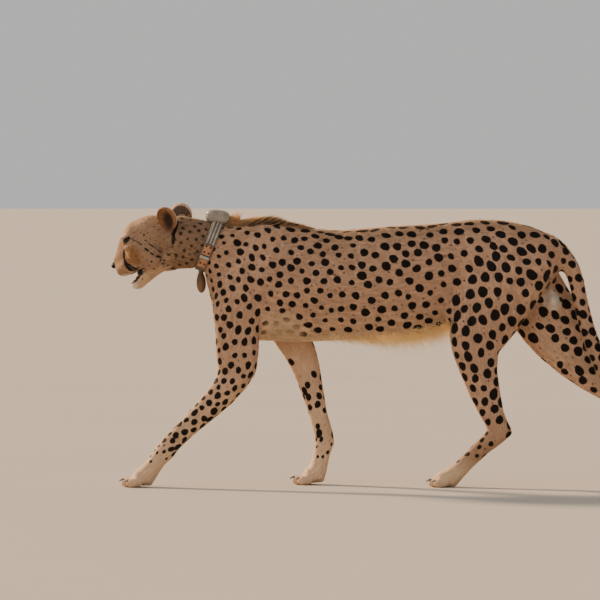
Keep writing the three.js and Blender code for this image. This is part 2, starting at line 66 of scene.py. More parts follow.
def plain(box):
    return [[float(v) for v in corner] for corner in box]


cad_box = plain(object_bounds())
LOW, HIGH = (np.array(corner) for corner in cad_box)

# ---- Camera: level with the flank, far away, so that the side is seen almost without perspective ----
VIEW = {"across": 0.317, "up": 0.657, "distance": 15.0, "rise_deg": 1.5, "width": 1.68, "sensor_mm": 36.0}


def add_camera():
    camera = bpy.data.objects.new("camera", bpy.data.cameras.new("camera"))
    bpy.context.scene.collection.objects.link(camera)
    aim = LOW + (HIGH - LOW) * np.array([VIEW["across"], 0.5, VIEW["up"]])
    rise = math.radians(VIEW["rise_deg"])
    camera.location = aim + VIEW["distance"] * np.array([0.0, -math.cos(rise), math.sin(rise)])
    camera.rotation_euler = (math.pi / 2 - rise, 0.0, 0.0)
    camera.data.sensor_width = VIEW["sensor_mm"]
    camera.data.lens = VIEW["sensor_mm"] * VIEW["distance"] / VIEW["width"]
    camera.data.clip_end = 100.0
    bpy.context.scene.camera = camera


add_camera()


# ---- Small helpers ----
def unit(v):
    v = np.asarray(v, dtype=float)
    return v / np.maximum(np.linalg.norm(v, axis=-1, keepdims=True), 1e-12)


def smooth(value, low, high):
    t = np.clip((value - low) / (high - low), 0.0, 1.0)
    return t * t * (3.0 - 2.0 * t)


def points_of(mesh):
    points = np.empty(len(mesh.vertices) * 3, np.float32)
    mesh.vertices.foreach_get("co", points)
    return points.reshape(-1, 3)


def triangles_of(mesh):
    mesh.calc_loop_triangles()
    faces = np.empty(len(mesh.loop_triangles) * 3, np.int32)
    mesh.loop_triangles.foreach_get("vertices", faces)
    return faces.reshape(-1, 3)


def node_points(name):
    return points_of(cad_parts[name].data)


def node_triangles(name):
    return triangles_of(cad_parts[name].data)


def corners_of(name):
    return [np.array(corner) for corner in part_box(name)]


def centre_of(name):
    low, high = corners_of(name)
    return (low + high) / 2


def tree_of(points):
    tree = KDTree(len(points))
    for i, p in enumerate(points):
        tree.insert(p, i)
    tree.balance()
    return tree


def seam(first, second, reach=1.5 * MM):
    """The middle of the cut between two neighbouring solids."""
    tree = tree_of(node_points(second))
    near = np.array([p for p in node_points(first) if tree.find(p)[2] < reach])
    return (near.min(axis=0) + near.max(axis=0)) / 2


def round_angles(count):
    return np.linspace(0, 2 * np.pi, count, endpoint=False)


def mesh_object(name, points, faces):
    """A smooth object from arrays of points and of faces that all have the same number of corners."""
    mesh = bpy.data.meshes.new(name)
    points = np.ascontiguousarray(points, np.float32)
    faces = np.ascontiguousarray(faces, np.int32)
    corners = faces.shape[1]
    mesh.vertices.add(len(points))
    mesh.vertices.foreach_set("co", points.ravel())
    mesh.loops.add(faces.size)
    mesh.loops.foreach_set("vertex_index", faces.ravel())
    mesh.polygons.add(len(faces))
    mesh.polygons.foreach_set("loop_start", np.arange(0, faces.size, corners, dtype=np.int32))
    mesh.polygons.foreach_set("use_smooth", np.ones(len(faces), bool))
    mesh.update(calc_edges=True)
    obj = bpy.data.objects.new(name, mesh)
    bpy.context.scene.collection.objects.link(obj)
    return obj


def set_attribute(obj, name, values):
    kind = "FLOAT" if values.ndim == 1 else "FLOAT_VECTOR"
    layer = obj.data.attributes.new(name, kind, "POINT")
    field = "value" if values.ndim == 1 else "vector"
    layer.data.foreach_set(field, np.ascontiguousarray(values, np.float32).ravel())


# ---- The head's own axes: ahead, left and up, from the eyes and the nose, in millimetres ----
EYES = {"left": centre_of("eye_left"), "right": centre_of("eye_right")}
EYE_AT_MM = np.array([1.0, 35.0, -3.0])
NOSE_AT_MM = np.array([77.0, 0.0, -56.0])


def head_axes():
    left = unit(EYES["left"] - EYES["right"])
    middle = (EYES["left"] + EYES["right"]) / 2
    forward = unit(centre_of("nose_pad") - middle)
    raised = np.cross(forward, left)
    reach, drop = NOSE_AT_MM[0] - EYE_AT_MM[0], EYE_AT_MM[2] - NOSE_AT_MM[2]
    size = math.hypot(reach, drop)
    ahead = (reach * forward + drop * raised) / size
    up = (reach * raised - drop * forward) / size
    axes = np.array([ahead, left, up])
    return axes, middle - (axes.T @ np.array([EYE_AT_MM[0], 0.0, EYE_AT_MM[2]])) * MM


HEAD_AXES, HEAD_MIDDLE = head_axes()


def to_head(points):
    return (np.asarray(points) - HEAD_MIDDLE) @ HEAD_AXES.T / MM


def from_head(ahead, left, up):
    return HEAD_MIDDLE + HEAD_AXES.T @ np.array([ahead, left, up]) * MM


# ---- Fields of signed distance, negative inside, on an even grid ----
def join(a, b, blend):
    near = np.maximum(blend - np.abs(a - b), 0.0) / blend
    return np.minimum(a, b) - near * near * (blend / 4)


def carve(a, b, blend):
    return -join(-a, b, blend)


class Field:
    def __init__(self, low, high, step):
        self.step = step
        self.origin = np.floor(np.asarray(low) / step).astype(int)
        self.shape = tuple(np.ceil(np.asarray(high) / step).astype(int) - self.origin + 1)
        self.x, self.y, self.z = (
            ((self.origin[i] + np.arange(self.shape[i])) * step).astype(np.float32) for i in range(3)
        )
        self.transform = vdb.createLinearTransform(voxelSize=step)

    def around(self, names, band, close=1.0 * MM):
        """The distance to several solids, with the thin cuts between them closed."""
        points, faces, count = [], [], 0
        for name in names:
            points.append(node_points(name))
            faces.append(node_triangles(name) + count)
            count += len(points[-1])
        shell = vdb.FloatGrid.createLevelSetFromPolygons(
            np.concatenate(points), triangles=np.concatenate(faces).astype(np.uint32),
            transform=self.transform,
        )
        outer, quads = shell.convertToQuads(isovalue=close)
        wide = vdb.FloatGrid.createLevelSetFromPolygons(
            outer, quads=quads, transform=self.transform,
            exBandWidth=band / self.step, inBandWidth=band / self.step,
        )
        values = np.empty(self.shape, np.float32)
        wide.copyToArray(values, ijk=tuple(int(v) for v in self.origin))
        return values + np.float32(close)

    def blur(self, values, sigma):
        """A Gaussian blur, one direction at a time."""
        reach = max(1, int(round(2.5 * sigma / self.step)))
        weights = np.exp(-0.5 * (np.arange(-reach, reach + 1) * self.step / sigma) ** 2)
        weights = (weights / weights.sum()).astype(np.float32)
        for axis in range(3):
            padded = np.pad(values, [(reach, reach) if i == axis else (0, 0) for i in range(3)], mode="edge")
            total = np.zeros_like(values)
            for k, weight in enumerate(weights):
                window = [slice(None)] * 3
                window[axis] = slice(k, k + values.shape[axis])
                total += weight * padded[tuple(window)]
            values = total
        return values

    def window(self, middle, reach):
        """The part of the grid within reach of a point: its slices, and its coordinates from the point."""
        slices, offsets = [], []
        for i, axis in enumerate((self.x, self.y, self.z)):
            first, last = np.searchsorted(axis, [middle[i] - reach, middle[i] + reach])
            slices.append(slice(first, last))
            shape = [1, 1, 1]
            shape[i] = last - first
            offsets.append((axis[first:last] - middle[i]).reshape(shape))
        return tuple(slices), offsets

    def surface(self, values):
        grid = vdb.FloatGrid(1.0)
        grid.transform = self.transform
        grid.copyFromArray(np.ascontiguousarray(values, np.float32), ijk=tuple(int(v) for v in self.origin))
        points, quads = grid.convertToQuads(isovalue=0.0)
        return points, quads.astype(np.int32)


# ---- The body's skin ----
SIDES = {"left": -1.0, "right": 1.0}
FORE = [f"fore_{side}" for side in SIDES]
HIND = [f"hind_{side}" for side in SIDES]
TRUNK = ["neck", "chest", "belly", "hips"]
TAIL = ["tail_base", "tail_middle", "tail_tip"]
FORE_PARTS = ["upper_arm", "forearm", "paw"]
HIND_PARTS = ["thigh", "shank", "cannon", "paw"]
LIMBS = {
    leg: [f"{leg}_{part}" for part in (FORE_PARTS if leg in FORE else HIND_PARTS)] for leg in FORE + HIND
}
BODY = TRUNK + TAIL + ["scrotum"] + [name for parts in LIMBS.values() for name in parts]
HEAD = ["head", "lower_jaw", "ear_left", "ear_right"]

BODY_STEP, HEAD_STEP = 3.4 * MM, 1.5 * MM
MARGIN = 12 * MM


def collar_plane():
    """A point in the collar's middle plane, and the plane's direction towards the head."""
    points = node_points("collar_belt").astype(float)
    middle = (points.min(axis=0) + points.max(axis=0)) / 2
    _, _, directions = np.linalg.svd(points - points.mean(axis=0))
    forward = directions[2] if directions[2][0] < 0 else -directions[2]
    return middle, forward


COLLAR_MIDDLE, COLLAR_FORWARD = collar_plane()


# Muscles, bones and hollows that show through the skin: the node, the place as shares of its box across
# and up, half-lengths in millimetres along and square to a direction, that direction in degrees above
# level, and how far the skin is raised there. Those of the trunk are on both its sides, this far out, and
# those of a leg are on its outer side.
MUSCLE_OUT, MUSCLE_WIDE_MM = 0.095, 45
MUSCLES = [
    ("chest", 0.36, 0.78, 75, 14, 62, -2.5),  # behind the shoulder blade
    ("chest", 0.50, 0.30, 60, 34, 20, 2.0),  # ribs low behind the elbow
    ("chest", 0.45, 0.10, 55, 16, -18, -2.5),  # fold of the armpit
    ("chest", 0.72, 0.55, 16, 70, 15, 1.2),  # ribs
    ("chest", 0.84, 0.52, 12, 70, 15, -1.2),
    ("chest", 0.96, 0.50, 16, 70, 15, 1.2),
    ("belly", 0.30, 0.45, 14, 70, 15, -1.2),
    ("belly", 0.86, 0.36, 70, 40, 30, -4.0),  # flank
    ("belly", 0.55, 0.90, 120, 16, 2, -1.5),  # beside the spine
    ("hips", 0.16, 0.90, 40, 16, 30, 3.0),  # hip bone
    ("hips", 0.45, 0.72, 55, 26, 40, -2.0),
    ("hips", 0.80, 0.72, 40, 20, -60, 2.0),  # sitting bone
    ("fore_left_upper_arm", 0.55, 0.86, 60, 17, 62, 3.0),  # shoulder blade
    ("fore_left_upper_arm", 0.22, 0.52, 34, 28, 60, 3.5),  # point of the shoulder
    ("fore_left_upper_arm", 0.66, 0.46, 60, 30, 75, 2.5),  # back of the upper arm
    ("fore_left_upper_arm", 0.44, 0.30, 55, 12, 70, -2.5),
    ("fore_left_upper_arm", 0.78, 0.06, 22, 22, 0, 2.5),  # elbow
    ("fore_right_upper_arm", 0.50, 0.86, 60, 17, 62, 3.0),
    ("fore_right_upper_arm", 0.20, 0.55, 34, 28, 60, 3.5),
    ("fore_right_upper_arm", 0.62, 0.44, 60, 30, 75, 2.5),
    ("fore_left_forearm", 0.72, 0.78, 52, 20, 45, 3.0),
    ("fore_left_forearm", 0.42, 0.42, 70, 8, 44, -2.0),
    ("fore_left_forearm", 0.14, 0.14, 22, 16, 44, 1.6),  # wrist
    ("fore_right_forearm", 0.50, 0.80, 52, 22, -70, 3.0),
    ("fore_right_forearm", 0.80, 0.14, 22, 16, -70, 1.6),
    ("hind_left_thigh", 0.035, 0.42, 95, 6, 78, -4.0),  # fold of the flank
    ("hind_left_thigh", 0.10, 0.42, 95, 12, 78, 2.5),
    ("hind_left_thigh", 0.42, 0.62, 90, 45, 60, 3.0),
    ("hind_left_thigh", 0.68, 0.42, 95, 12, 52, -3.0),  # between thigh and hamstring
    ("hind_left_thigh", 0.80, 0.55, 70, 25, 60, 2.5),
    ("hind_left_thigh", 0.22, 0.10, 30, 30, 0, 3.0),  # knee
    ("hind_left_shank", 0.45, 0.70, 60, 22, -68, 3.0),
    ("hind_left_shank", 0.80, 0.30, 60, 7, -60, -3.0),  # before the heel tendon
    ("hind_left_shank", 0.92, 0.08, 18, 16, 0, 2.0),  # heel
    ("hind_right_thigh", 0.45, 0.62, 90, 45, 40, 3.0),
    ("hind_right_thigh", 0.62, 0.42, 95, 12, 20, -3.0),
    ("hind_right_shank", 0.35, 0.70, 60, 22, -35, 3.0),
    ("hind_right_shank", 0.72, 0.40, 60, 7, -32, -3.0),
]


def mould(field, skin, middle, size, turn, raised):
    """Raises or sinks the skin round a place, fading out in an ellipsoid turned in the side view."""
    slices, (dx, dy, dz) = field.window(middle, 2.2 * max(size) * MM)
    c, s = math.cos(math.radians(turn)), math.sin(math.radians(turn))
    along, square = (dx * c + dz * s) / MM, (dz * c - dx * s) / MM
    off = (along / size[0]) ** 2 + (dy / MM / size[1]) ** 2 + (square / size[2]) ** 2
    skin[slices] -= raised * MM * np.exp(-off)


def claw_ends(node):
    """The root and the tip of a claw."""
    points = node_points(node).astype(float)
    tip = points[np.argmin(points[:, 0] + 0.5 * points[:, 2])]
    far = np.linalg.norm(points - tip, axis=1)
    return points[far > far.max() - 4 * MM].mean(axis=0), tip


CLAWS = [f"{leg}_claw_{number}" for leg in FORE + HIND for number in range(1, 5)]
KNEE_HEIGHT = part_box("hind_left_shank")[1][2]
BEHIND_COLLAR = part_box("collar_belt")[1][0]  # where the collar's rear edge is, along the animal
SMOOTHING_MM = {"paws": 1.8, "legs": 3.4, "thighs": 6.5, "trunk": 11}
TOE = {"from_claw": (7, 0, -4), "size": (13, 10, 10), "raised": 4.2}
UNDER_MANE = {"behind_collar": 0.09, "size": (85, 30, 30), "raised": -7}
SOLE_HEIGHT = 10 * MM


def body_skin():
    """The solids of the body, smoothed more from the paws to the trunk and drawn in by the coat's depth."""
    field = Field(LOW - MARGIN, HIGH + MARGIN, BODY_STEP)
    solid = field.around(BODY, band=30 * MM)
    sharp, fine, middling = (field.blur(solid, SMOOTHING_MM[key] * MM) for key in ("paws", "legs", "thighs"))
    broad = field.blur(middling, SMOOTHING_MM["trunk"] * MM)
    x, z = field.x[:, None, None], field.z[None, None, :]
    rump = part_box("tail_base")[0][0]
    to_middling = smooth(z, 0.12, 0.22)
    to_broad = smooth(z, KNEE_HEIGHT - 0.03, KNEE_HEIGHT + 0.07) * (1 - smooth(x, rump + 0.04, rump + 0.10))
    in_paws = 1 - smooth(z, 0.030, 0.055)
    skin = fine + (middling - fine) * to_middling + (sharp - fine) * in_paws
    skin += (broad - skin) * to_broad
    above_knee = smooth(z, KNEE_HEIGHT - 0.05, KNEE_HEIGHT + 0.05)
    skin += (1.5 - 1.1 * in_paws + 1.5 * smooth(z, 0.10, 0.25) + 2.0 * above_knee) * MM
    for node, across, up, long, high, turn, raised in MUSCLES:
        near, far = corners_of(node)
        middle = near + (far - near) * np.array([across, 0.5, up])
        outer = near[1] if "left" in node else far[1]
        for out in (-MUSCLE_OUT, MUSCLE_OUT) if node in TRUNK else (outer,):
            middle[1] = out
            mould(field, skin, middle, (long, MUSCLE_WIDE_MM, high), turn, raised)
    # The toes swell round the roots of the claws, and the skin lies lower where the mane stands on it.
    for claw in CLAWS:
        toe = claw_ends(claw)[0] + np.array(TOE["from_claw"]) * MM
        mould(field, skin, toe, TOE["size"], 0, TOE["raised"])
    crest = np.array([BEHIND_COLLAR + UNDER_MANE["behind_collar"], 0.0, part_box("neck")[1][2]])
    mould(field, skin, crest, UNDER_MANE["size"], 0, UNDER_MANE["raised"])
    points, quads = field.surface(skin)
    # The soles rest on the floor.
    rest = points[:, 2].min()
    points[:, 2] -= rest * (1 - smooth(points[:, 2], rest, SOLE_HEIGHT))
    return points, quads


# ---- The head's skin ----
# Rounded masses: how far ahead, out to each side and up, then half-sizes.
HEAD_MASSES = [
    ((-52, 0, -2), (74, 52, 56)),  # brain case
    ((-8, 0, 7), (37, 43, 40)),  # brow
    ((14, 0, -42), (50, 38, 45)),  # cheekbones and upper jaw
    ((26, 0, -4), (20, 17, 22)),  # bridge of the nose, in three steps
    ((34, 0, -24), (20, 16, 20)),
    ((55, 0, -44), (21, 15, 16)),
    ((63, 0, -60), (17, 16, 15)),  # end of the muzzle, round the nose
    ((43, 18, -75), (27, 20, 21)),  # whisker pad
    ((-26, 41, -36), (40, 26, 34)),  # cheek
    ((-52, 35, -62), (38, 28, 40)),  # jaw muscle
    ((6, 27, -66), (32, 14, 22)),  # upper lip, back to the corner of the mouth
    ((-100, 0, -82), (44, 42, 36)),  # throat
    ((-108, 0, -8), (38, 44, 48)),  # back of the head
]
EAR = {"at": (-136, 53, 29), "size": (19, 33, 36), "wall": 5, "turn": 74, "lean": 12, "front": 6}
LID = {"ball": 14.2, "thick": 2.4, "half": 14.0, "upper": 5.6, "lower": 4.6, "out_deg": 58, "slant_deg": 34}
FACE_BLEND_MM = 17.0
MOUTH_ROOF = ((16, 0, -98), (44, 21, 9))
MOUTH_BACK = ((-18, 0, -96), (34, 27, 20))


def ellipsoid(a, l, u, at, size):
    x, y, z = a - at[0], l - at[1], u - at[2]
    k = np.sqrt((x / size[0]) ** 2 + (y / size[1]) ** 2 + (z / size[2]) ** 2)
    slope = np.sqrt((x / size[0] ** 2) ** 2 + (y / size[1] ** 2) ** 2 + (z / size[2] ** 2) ** 2)
    return k * (k - 1) / np.maximum(slope, 1e-4)


def ear_middle(side):
    ahead, out, up = EAR["at"]
    return ahead, side * out, up


def ear_axes(side):
    turn, lean = math.radians(EAR["turn"]), math.radians(EAR["lean"])
    opening = np.array([math.cos(turn), side * math.sin(turn), 0.0])
    across = np.array([-math.sin(turn), side * math.cos(turn), 0.0])
    upward = np.array([0.0, 0.0, 1.0])
    c, s = math.cos(lean), side * math.sin(lean)
    tilt = np.array([[1, 0, 0], [0, c, s], [0, -s, c]])
    return np.array([tilt @ opening, tilt @ across, tilt @ upward])


def lid_axes(side):
    """Where the eye looks, then along the slit towards the ear, then across the slit."""
    out, slant = math.radians(LID["out_deg"]), math.radians(LID["slant_deg"])
    gaze = np.array([math.cos(out), side * math.sin(out), 0.05])
    gaze /= np.linalg.norm(gaze)
    outward = np.array([-math.sin(out), side * math.cos(out), 0.0])
    slit = outward * math.cos(slant) + np.array([0.0, 0.0, math.sin(slant)])
    slit -= gaze * (slit @ gaze)
    slit /= np.linalg.norm(slit)
    return np.array([gaze, slit, np.cross(gaze, slit) * side])


def eye_opening(ball, side):
    """The distance to the edge of the slit, for places from the eye's middle, and how far ahead they are."""
    gaze, slit, across = lid_axes(side)
    g, s, t = (ball[0] * axis[0] + ball[1] * axis[1] + ball[2] * axis[2] for axis in (gaze, slit, across))
    bow = np.sqrt(np.clip(1 - (s / LID["half"]) ** 2, 0.0, 1.0))
    half = np.where(t > 0, LID["upper"], LID["lower"]) * bow
    return np.maximum(np.abs(t) - half, np.abs(s) - LID["half"]), g


def head_grid(field):
    """How far ahead, left and up each of a field's points lies from the head's middle, in millimetres."""
    x, y, z = field.x[:, None, None], field.y[None, :, None], field.z[None, None, :]
    return [
        (
            (x - np.float32(HEAD_MIDDLE[0])) * np.float32(axis[0])
            + (y - np.float32(HEAD_MIDDLE[1])) * np.float32(axis[1])
            + (z - np.float32(HEAD_MIDDLE[2])) * np.float32(axis[2])
        )
        * np.float32(1 / MM)
        for axis in HEAD_AXES
    ]


def add_lids(skin, a, l, u, side):
    """The brow, the cheekbone, and the lids, which are a ball opened by the slit and hollowed for the eye."""
    skin = join(skin, ellipsoid(a, l, u, (7, side * 33, 12), (17, 15, 7)), 9.0)
    skin = join(skin, ellipsoid(a, l, u, (-10, side * 45, -19), (26, 9, 9)), 11.0)
    ball = [a - EYE_AT_MM[0], l - side * EYE_AT_MM[1], u - EYE_AT_MM[2]]
    radius = np.sqrt(ball[0] ** 2 + ball[1] ** 2 + ball[2] ** 2)
    skin = join(skin, radius - (LID["ball"] + LID["thick"]), 5.0)
    slot, ahead = eye_opening(ball, side)
    slot = np.maximum(slot, 2.0 - ahead)
    skin = carve(skin, np.maximum(slot, (LID["ball"] - 1.5) - radius), 1.5)
    return carve(skin, radius - (LID["ball"] + 0.2), 0.8)


def add_ear(skin, a, l, u, side):
    """A cupped shell, cut off flat where it opens and hollowed from there."""
    at = [axis - place for axis, place in zip((a, l, u), ear_middle(side))]
    e, f, h = (at[0] * axis[0] + at[1] * axis[1] + at[2] * axis[2] for axis in ear_axes(side))
    shell = ellipsoid(e, f, h, (0, 0, 0), tuple(size - 1.0 for size in EAR["size"]))
    shell = -join(-shell, -(e - EAR["front"] + 1.0), 3.0)
    depth, width, height = EAR["size"]
    hollow = ellipsoid(e, f, h, (EAR["wall"] + 5, 0, 0), (depth - 2, width - 5, height - 5))
    return carve(join(skin, shell, 9.0), hollow, 2.0)


def head_skin():
    """Rounded masses, with the jaw, lids, ears and mouth joined and carved. Blends are in millimetres."""
    boxes = [corners_of(name) for name in HEAD + ["nose_pad", "collar_belt"]]
    low = np.min([box[0] for box in boxes], axis=0) - MARGIN
    high = np.max([box[1] for box in boxes], axis=0) + MARGIN
    field = Field(low, high, HEAD_STEP)
    a, l, u = head_grid(field)
    neck = field.blur(field.around(["head", "neck"], band=20 * MM), 5 * MM) / np.float32(MM) + 4.5
    out = np.abs(l)
    face = None
    for (ahead, beside, up), size in HEAD_MASSES:
        # A pair close to the middle line also blends across it.
        for place in (beside, -beside) if 0 < beside < 20 else (beside,):
            mass = ellipsoid(a, out, u, (ahead, place, up), size)
            face = mass if face is None else join(face, mass, FACE_BLEND_MM)
    face += 2.0
    skin = neck + (face - neck) * smooth(a, -112, -72)
    del neck, face

    # Jaw, blended into the cheek behind the corner of the mouth.
    jaw = field.blur(field.around(["lower_jaw"], band=14 * MM), 2.5 * MM) / np.float32(MM) + 1.5
    jaw = join(jaw, ellipsoid(a, l, u, (24, 0, -124), (20, 19, 14)), 8.0)
    blend = 4.0 + 14.0 * smooth(-a, -6, 34)
    skin = join(skin, jaw, blend)
    del jaw

    for side in (-1, 1):
        skin = add_lids(skin, a, l, u, side)
        skin = add_ear(skin, a, l, u, side)

    # Mouth between the jaws, the groove below the nose, and the seat of the nose pad.
    skin = carve(skin, ellipsoid(a, l, u, *MOUTH_ROOF), 4.0)
    skin = join(skin, ellipsoid(a, l, u, *MOUTH_BACK), 5.0)
    groove = np.maximum(out - 0.8, np.maximum(np.abs(u + 77) - 15, 62 - a))
    skin = carve(skin, groove, 3.0)
    skin = carve(skin, ellipsoid(a, l, u, tuple(NOSE_AT_MM + [1, 0, 0]), (9, 13, 9)), 2.0)
    return field.surface(skin * np.float32(MM))


def as_bmesh(points, quads):
    made = bmesh.new()
    obj = mesh_object("part", points, quads)
    mesh = obj.data
    made.from_mesh(mesh)
    bpy.data.objects.remove(obj)
    bpy.data.meshes.remove(mesh)
    return made


NECK_REACH, THROAT_BEHIND = 0.16, 0.08  # how far from the collar's middle a skin is trimmed


def trim(made, side):
    """Cuts a skin in the collar's plane and drops what lies on the other side of it, round the neck."""
    middle, forward = Vector(COLLAR_MIDDLE), Vector(COLLAR_FORWARD)
    near = {v for v in made.verts if (v.co - middle).length < NECK_REACH}
    edges = [e for e in made.edges if e.verts[0] in near and e.verts[1] in near]
    faces = [f for f in made.faces if all(v in near for v in f.verts)]
    near_geometry = list(near) + edges + faces
    bmesh.ops.bisect_plane(made, geom=near_geometry, plane_co=middle, plane_no=forward, dist=1e-6)
    bottom = COLLAR_MIDDLE[2] - NECK_REACH

    def unwanted(face):
        at = face.calc_center_median()
        beyond = side * (at - middle).dot(forward) < 0 and at.z > bottom
        return beyond and (side > 0 or at.x < COLLAR_MIDDLE[0] + THROAT_BEHIND)

    bmesh.ops.delete(made, geom=[f for f in made.faces if unwanted(f)], context="FACES")


def make_skin():
    """The head's finer skin and the body's coarser one, bridged under the collar into one closed skin."""
    ahead = as_bmesh(*head_skin())
    trim(ahead, 1.0)
    made = as_bmesh(*body_skin())
    trim(made, -1.0)
    spare = bpy.data.meshes.new("spare")
    ahead.to_mesh(spare)
    made.from_mesh(spare)
    ahead.free()
    bpy.data.meshes.remove(spare)
    rims = [e for e in made.edges if e.is_boundary]
    bmesh.ops.bridge_loops(made, edges=rims)
    bmesh.ops.recalc_face_normals(made, faces=made.faces[:])
    mesh = bpy.data.meshes.new("skin")
    made.to_mesh(mesh)
    made.free()
    mesh.polygons.foreach_set("use_smooth", np.ones(len(mesh.polygons), bool))
    obj = bpy.data.objects.new("skin", mesh)
    bpy.context.scene.collection.objects.link(obj)
    return obj


SKIN = make_skin()


def normals_and_edges(mesh):
    normals = np.empty(len(mesh.vertices) * 3, np.float32)
    mesh.vertex_normals.foreach_get("vector", normals)
    edges = np.empty(len(mesh.edges) * 2, np.int32)
    mesh.edges.foreach_get("vertices", edges)
    return normals.reshape(-1, 3), edges.reshape(-1, 2)


POINTS, TRIANGLES = points_of(SKIN.data), triangles_of(SKIN.data)
NORMALS, EDGES = normals_and_edges(SKIN.data)
COUNT = len(POINTS)
DEGREE = np.maximum(np.bincount(EDGES.ravel(), minlength=COUNT), 1)


def spread(values, rounds):
    """Averages values over neighbouring vertices, several times."""
    values = np.asarray(values, float)
    columns = values.reshape(COUNT, -1)
    for _ in range(rounds):
        sums = np.empty_like(columns)
        for k in range(columns.shape[1]):
            column = columns[:, k]
            sums[:, k] = np.bincount(EDGES[:, 0], column[EDGES[:, 1]], COUNT)
            sums[:, k] += np.bincount(EDGES[:, 1], column[EDGES[:, 0]], COUNT)
        columns = 0.5 * columns + 0.5 * sums / DEGREE[:, None]
    return columns.reshape(values.shape)


# ---- Which part of the body each vertex belongs to, and the axis of each part ----
PARTS = BODY + HEAD
SAMPLE_GAP, SAMPLES_AT_LEAST = 9 * MM, 20


def areas_of(corners):
    return np.linalg.norm(np.cross(corners[:, 1] - corners[:, 0], corners[:, 2] - corners[:, 0]), axis=1) / 2


def random_places(weights, count):
    """Triangles drawn by weight, and a place in each as the shares of its second and third corners."""
    chosen = rng.choice(len(weights), count, p=weights / weights.sum())
    share = rng.random((count, 2))
    share[share.sum(axis=1) > 1] = 1 - share[share.sum(axis=1) > 1]
    return chosen, share


def nearest_parts():
    """For each vertex of the skin the solid that it lies nearest to."""
    samples, labels = [], []
    for k, name in enumerate(PARTS):
        corners = node_points(name)[node_triangles(name)]
        areas = areas_of(corners)
        count = int(areas.sum() / SAMPLE_GAP**2) + SAMPLES_AT_LEAST
        chosen, share = random_places(areas, count)
        picked = corners[chosen]
        samples.append(
            picked[:, 0]
            + share[:, :1] * (picked[:, 1] - picked[:, 0])
            + share[:, 1:] * (picked[:, 2] - picked[:, 0])
        )
        labels.append(np.full(count, k))
    samples, labels = np.concatenate(samples), np.concatenate(labels)
    tree = tree_of(samples)
    outward = POINTS + NORMALS * (3 * MM)
    return labels[np.array([tree.find(p)[1] for p in outward])]


PART_OF = nearest_parts()


def belongs(*names):
    return np.isin(PART_OF, [PARTS.index(name) for name in names])


def end_of(name, direction):
    """The middle of the vertices that lie furthest in a direction."""
    points = node_points(name)
    along = points @ np.asarray(direction, float)
    return points[along > along.max() - 8 * MM].mean(axis=0)


def through_seams(start, parts, end):
    return np.array([start] + [seam(a, b) for a, b in zip(parts, parts[1:])] + [end])


def limb_axis(parts):
    low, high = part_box(parts[-1])
    toes = np.array([low[0] + 12 * MM, (low[1] + high[1]) / 2, 14 * MM])
    return through_seams(end_of(parts[0], (0, 0, 1)), parts, toes)


HEAD_LINE_MM = [(90, 0, -60), (20, 0, -40), (-60, 0, -20), (-170, 0, -10)]
TAIL_AXIS = through_seams(end_of("tail_base", (-1, 0, 0.3)), TAIL, end_of("tail_tip", (1, 0, 0)))
AXES = {
    "trunk": through_seams(seam("head", "neck"), TRUNK, end_of("hips", (1, 0, 0))),
    "tail": TAIL_AXIS,
    "head": np.array([from_head(*place) for place in HEAD_LINE_MM]),
    **{leg: limb_axis(parts) for leg, parts in LIMBS.items()},
}


def along_axis(axis, points):
    """How far along a bent axis each point lies, the angle round it, and the axis's direction there."""
    lengths = np.linalg.norm(np.diff(axis, axis=0), axis=1)
    starts = np.concatenate([[0.0], np.cumsum(lengths)])
    runs = unit(np.diff(axis, axis=0))
    best = np.full(len(points), np.inf)
    position = np.zeros(len(points))
    bone = np.zeros(len(points), int)
    for k, run in enumerate(runs):
        share = (points - axis[k]) @ run
        low = -np.inf if k == 0 else 0.0
        high = np.inf if k == len(runs) - 1 else lengths[k]
        share = np.clip(share, low, high)
        gap = np.linalg.norm(points - axis[k] - share[:, None] * run, axis=1)
        closer = gap < best
        best[closer], position[closer], bone[closer] = gap[closer], (starts[k] + share)[closer], k
    middle = starts[:-1] + lengths / 2
    toward = np.array([np.interp(position, middle, runs[:, i]) for i in range(3)]).T
    toward = unit(toward)
    foot = axis[bone] + (position - starts[bone])[:, None] * runs[bone]
    offset = points - foot
    side = np.cross(toward, [0.0, 1.0, 0.0])
    side = unit(np.where(np.linalg.norm(side, axis=1, keepdims=True) < 1e-3, [1.0, 0, 0], side))
    angle = np.arctan2(offset[:, 1], (offset * side).sum(axis=1))
    return position / starts[-1], angle, toward


IN_HEAD = to_head(POINTS)
AHEAD, OUT, UP = IN_HEAD[:, 0], np.abs(IN_HEAD[:, 1]), IN_HEAD[:, 2]
PAIRED = np.stack([AHEAD, OUT, UP], axis=1)  # the same on both sides of the head
COLLAR_GAP = (POINTS - COLLAR_MIDDLE) @ COLLAR_FORWARD
FACE, EARS, ON_TRUNK = belongs("head", "lower_jaw"), belongs("ear_left", "ear_right"), belongs(*TRUNK)
FORE_LEGS = belongs(*[part for side in FORE for part in LIMBS[side]])
NOSE_GAP = ellipsoid(AHEAD, OUT, UP, tuple(NOSE_AT_MM), (10, 15, 10))
EAR_SIDES = {"ear_left": 1, "ear_right": -1}


def reach_of(place, size):
    """How far each vertex of the head lies from a place, as a share of the half-sizes given."""
    return np.linalg.norm((PAIRED - place) / size, axis=1)


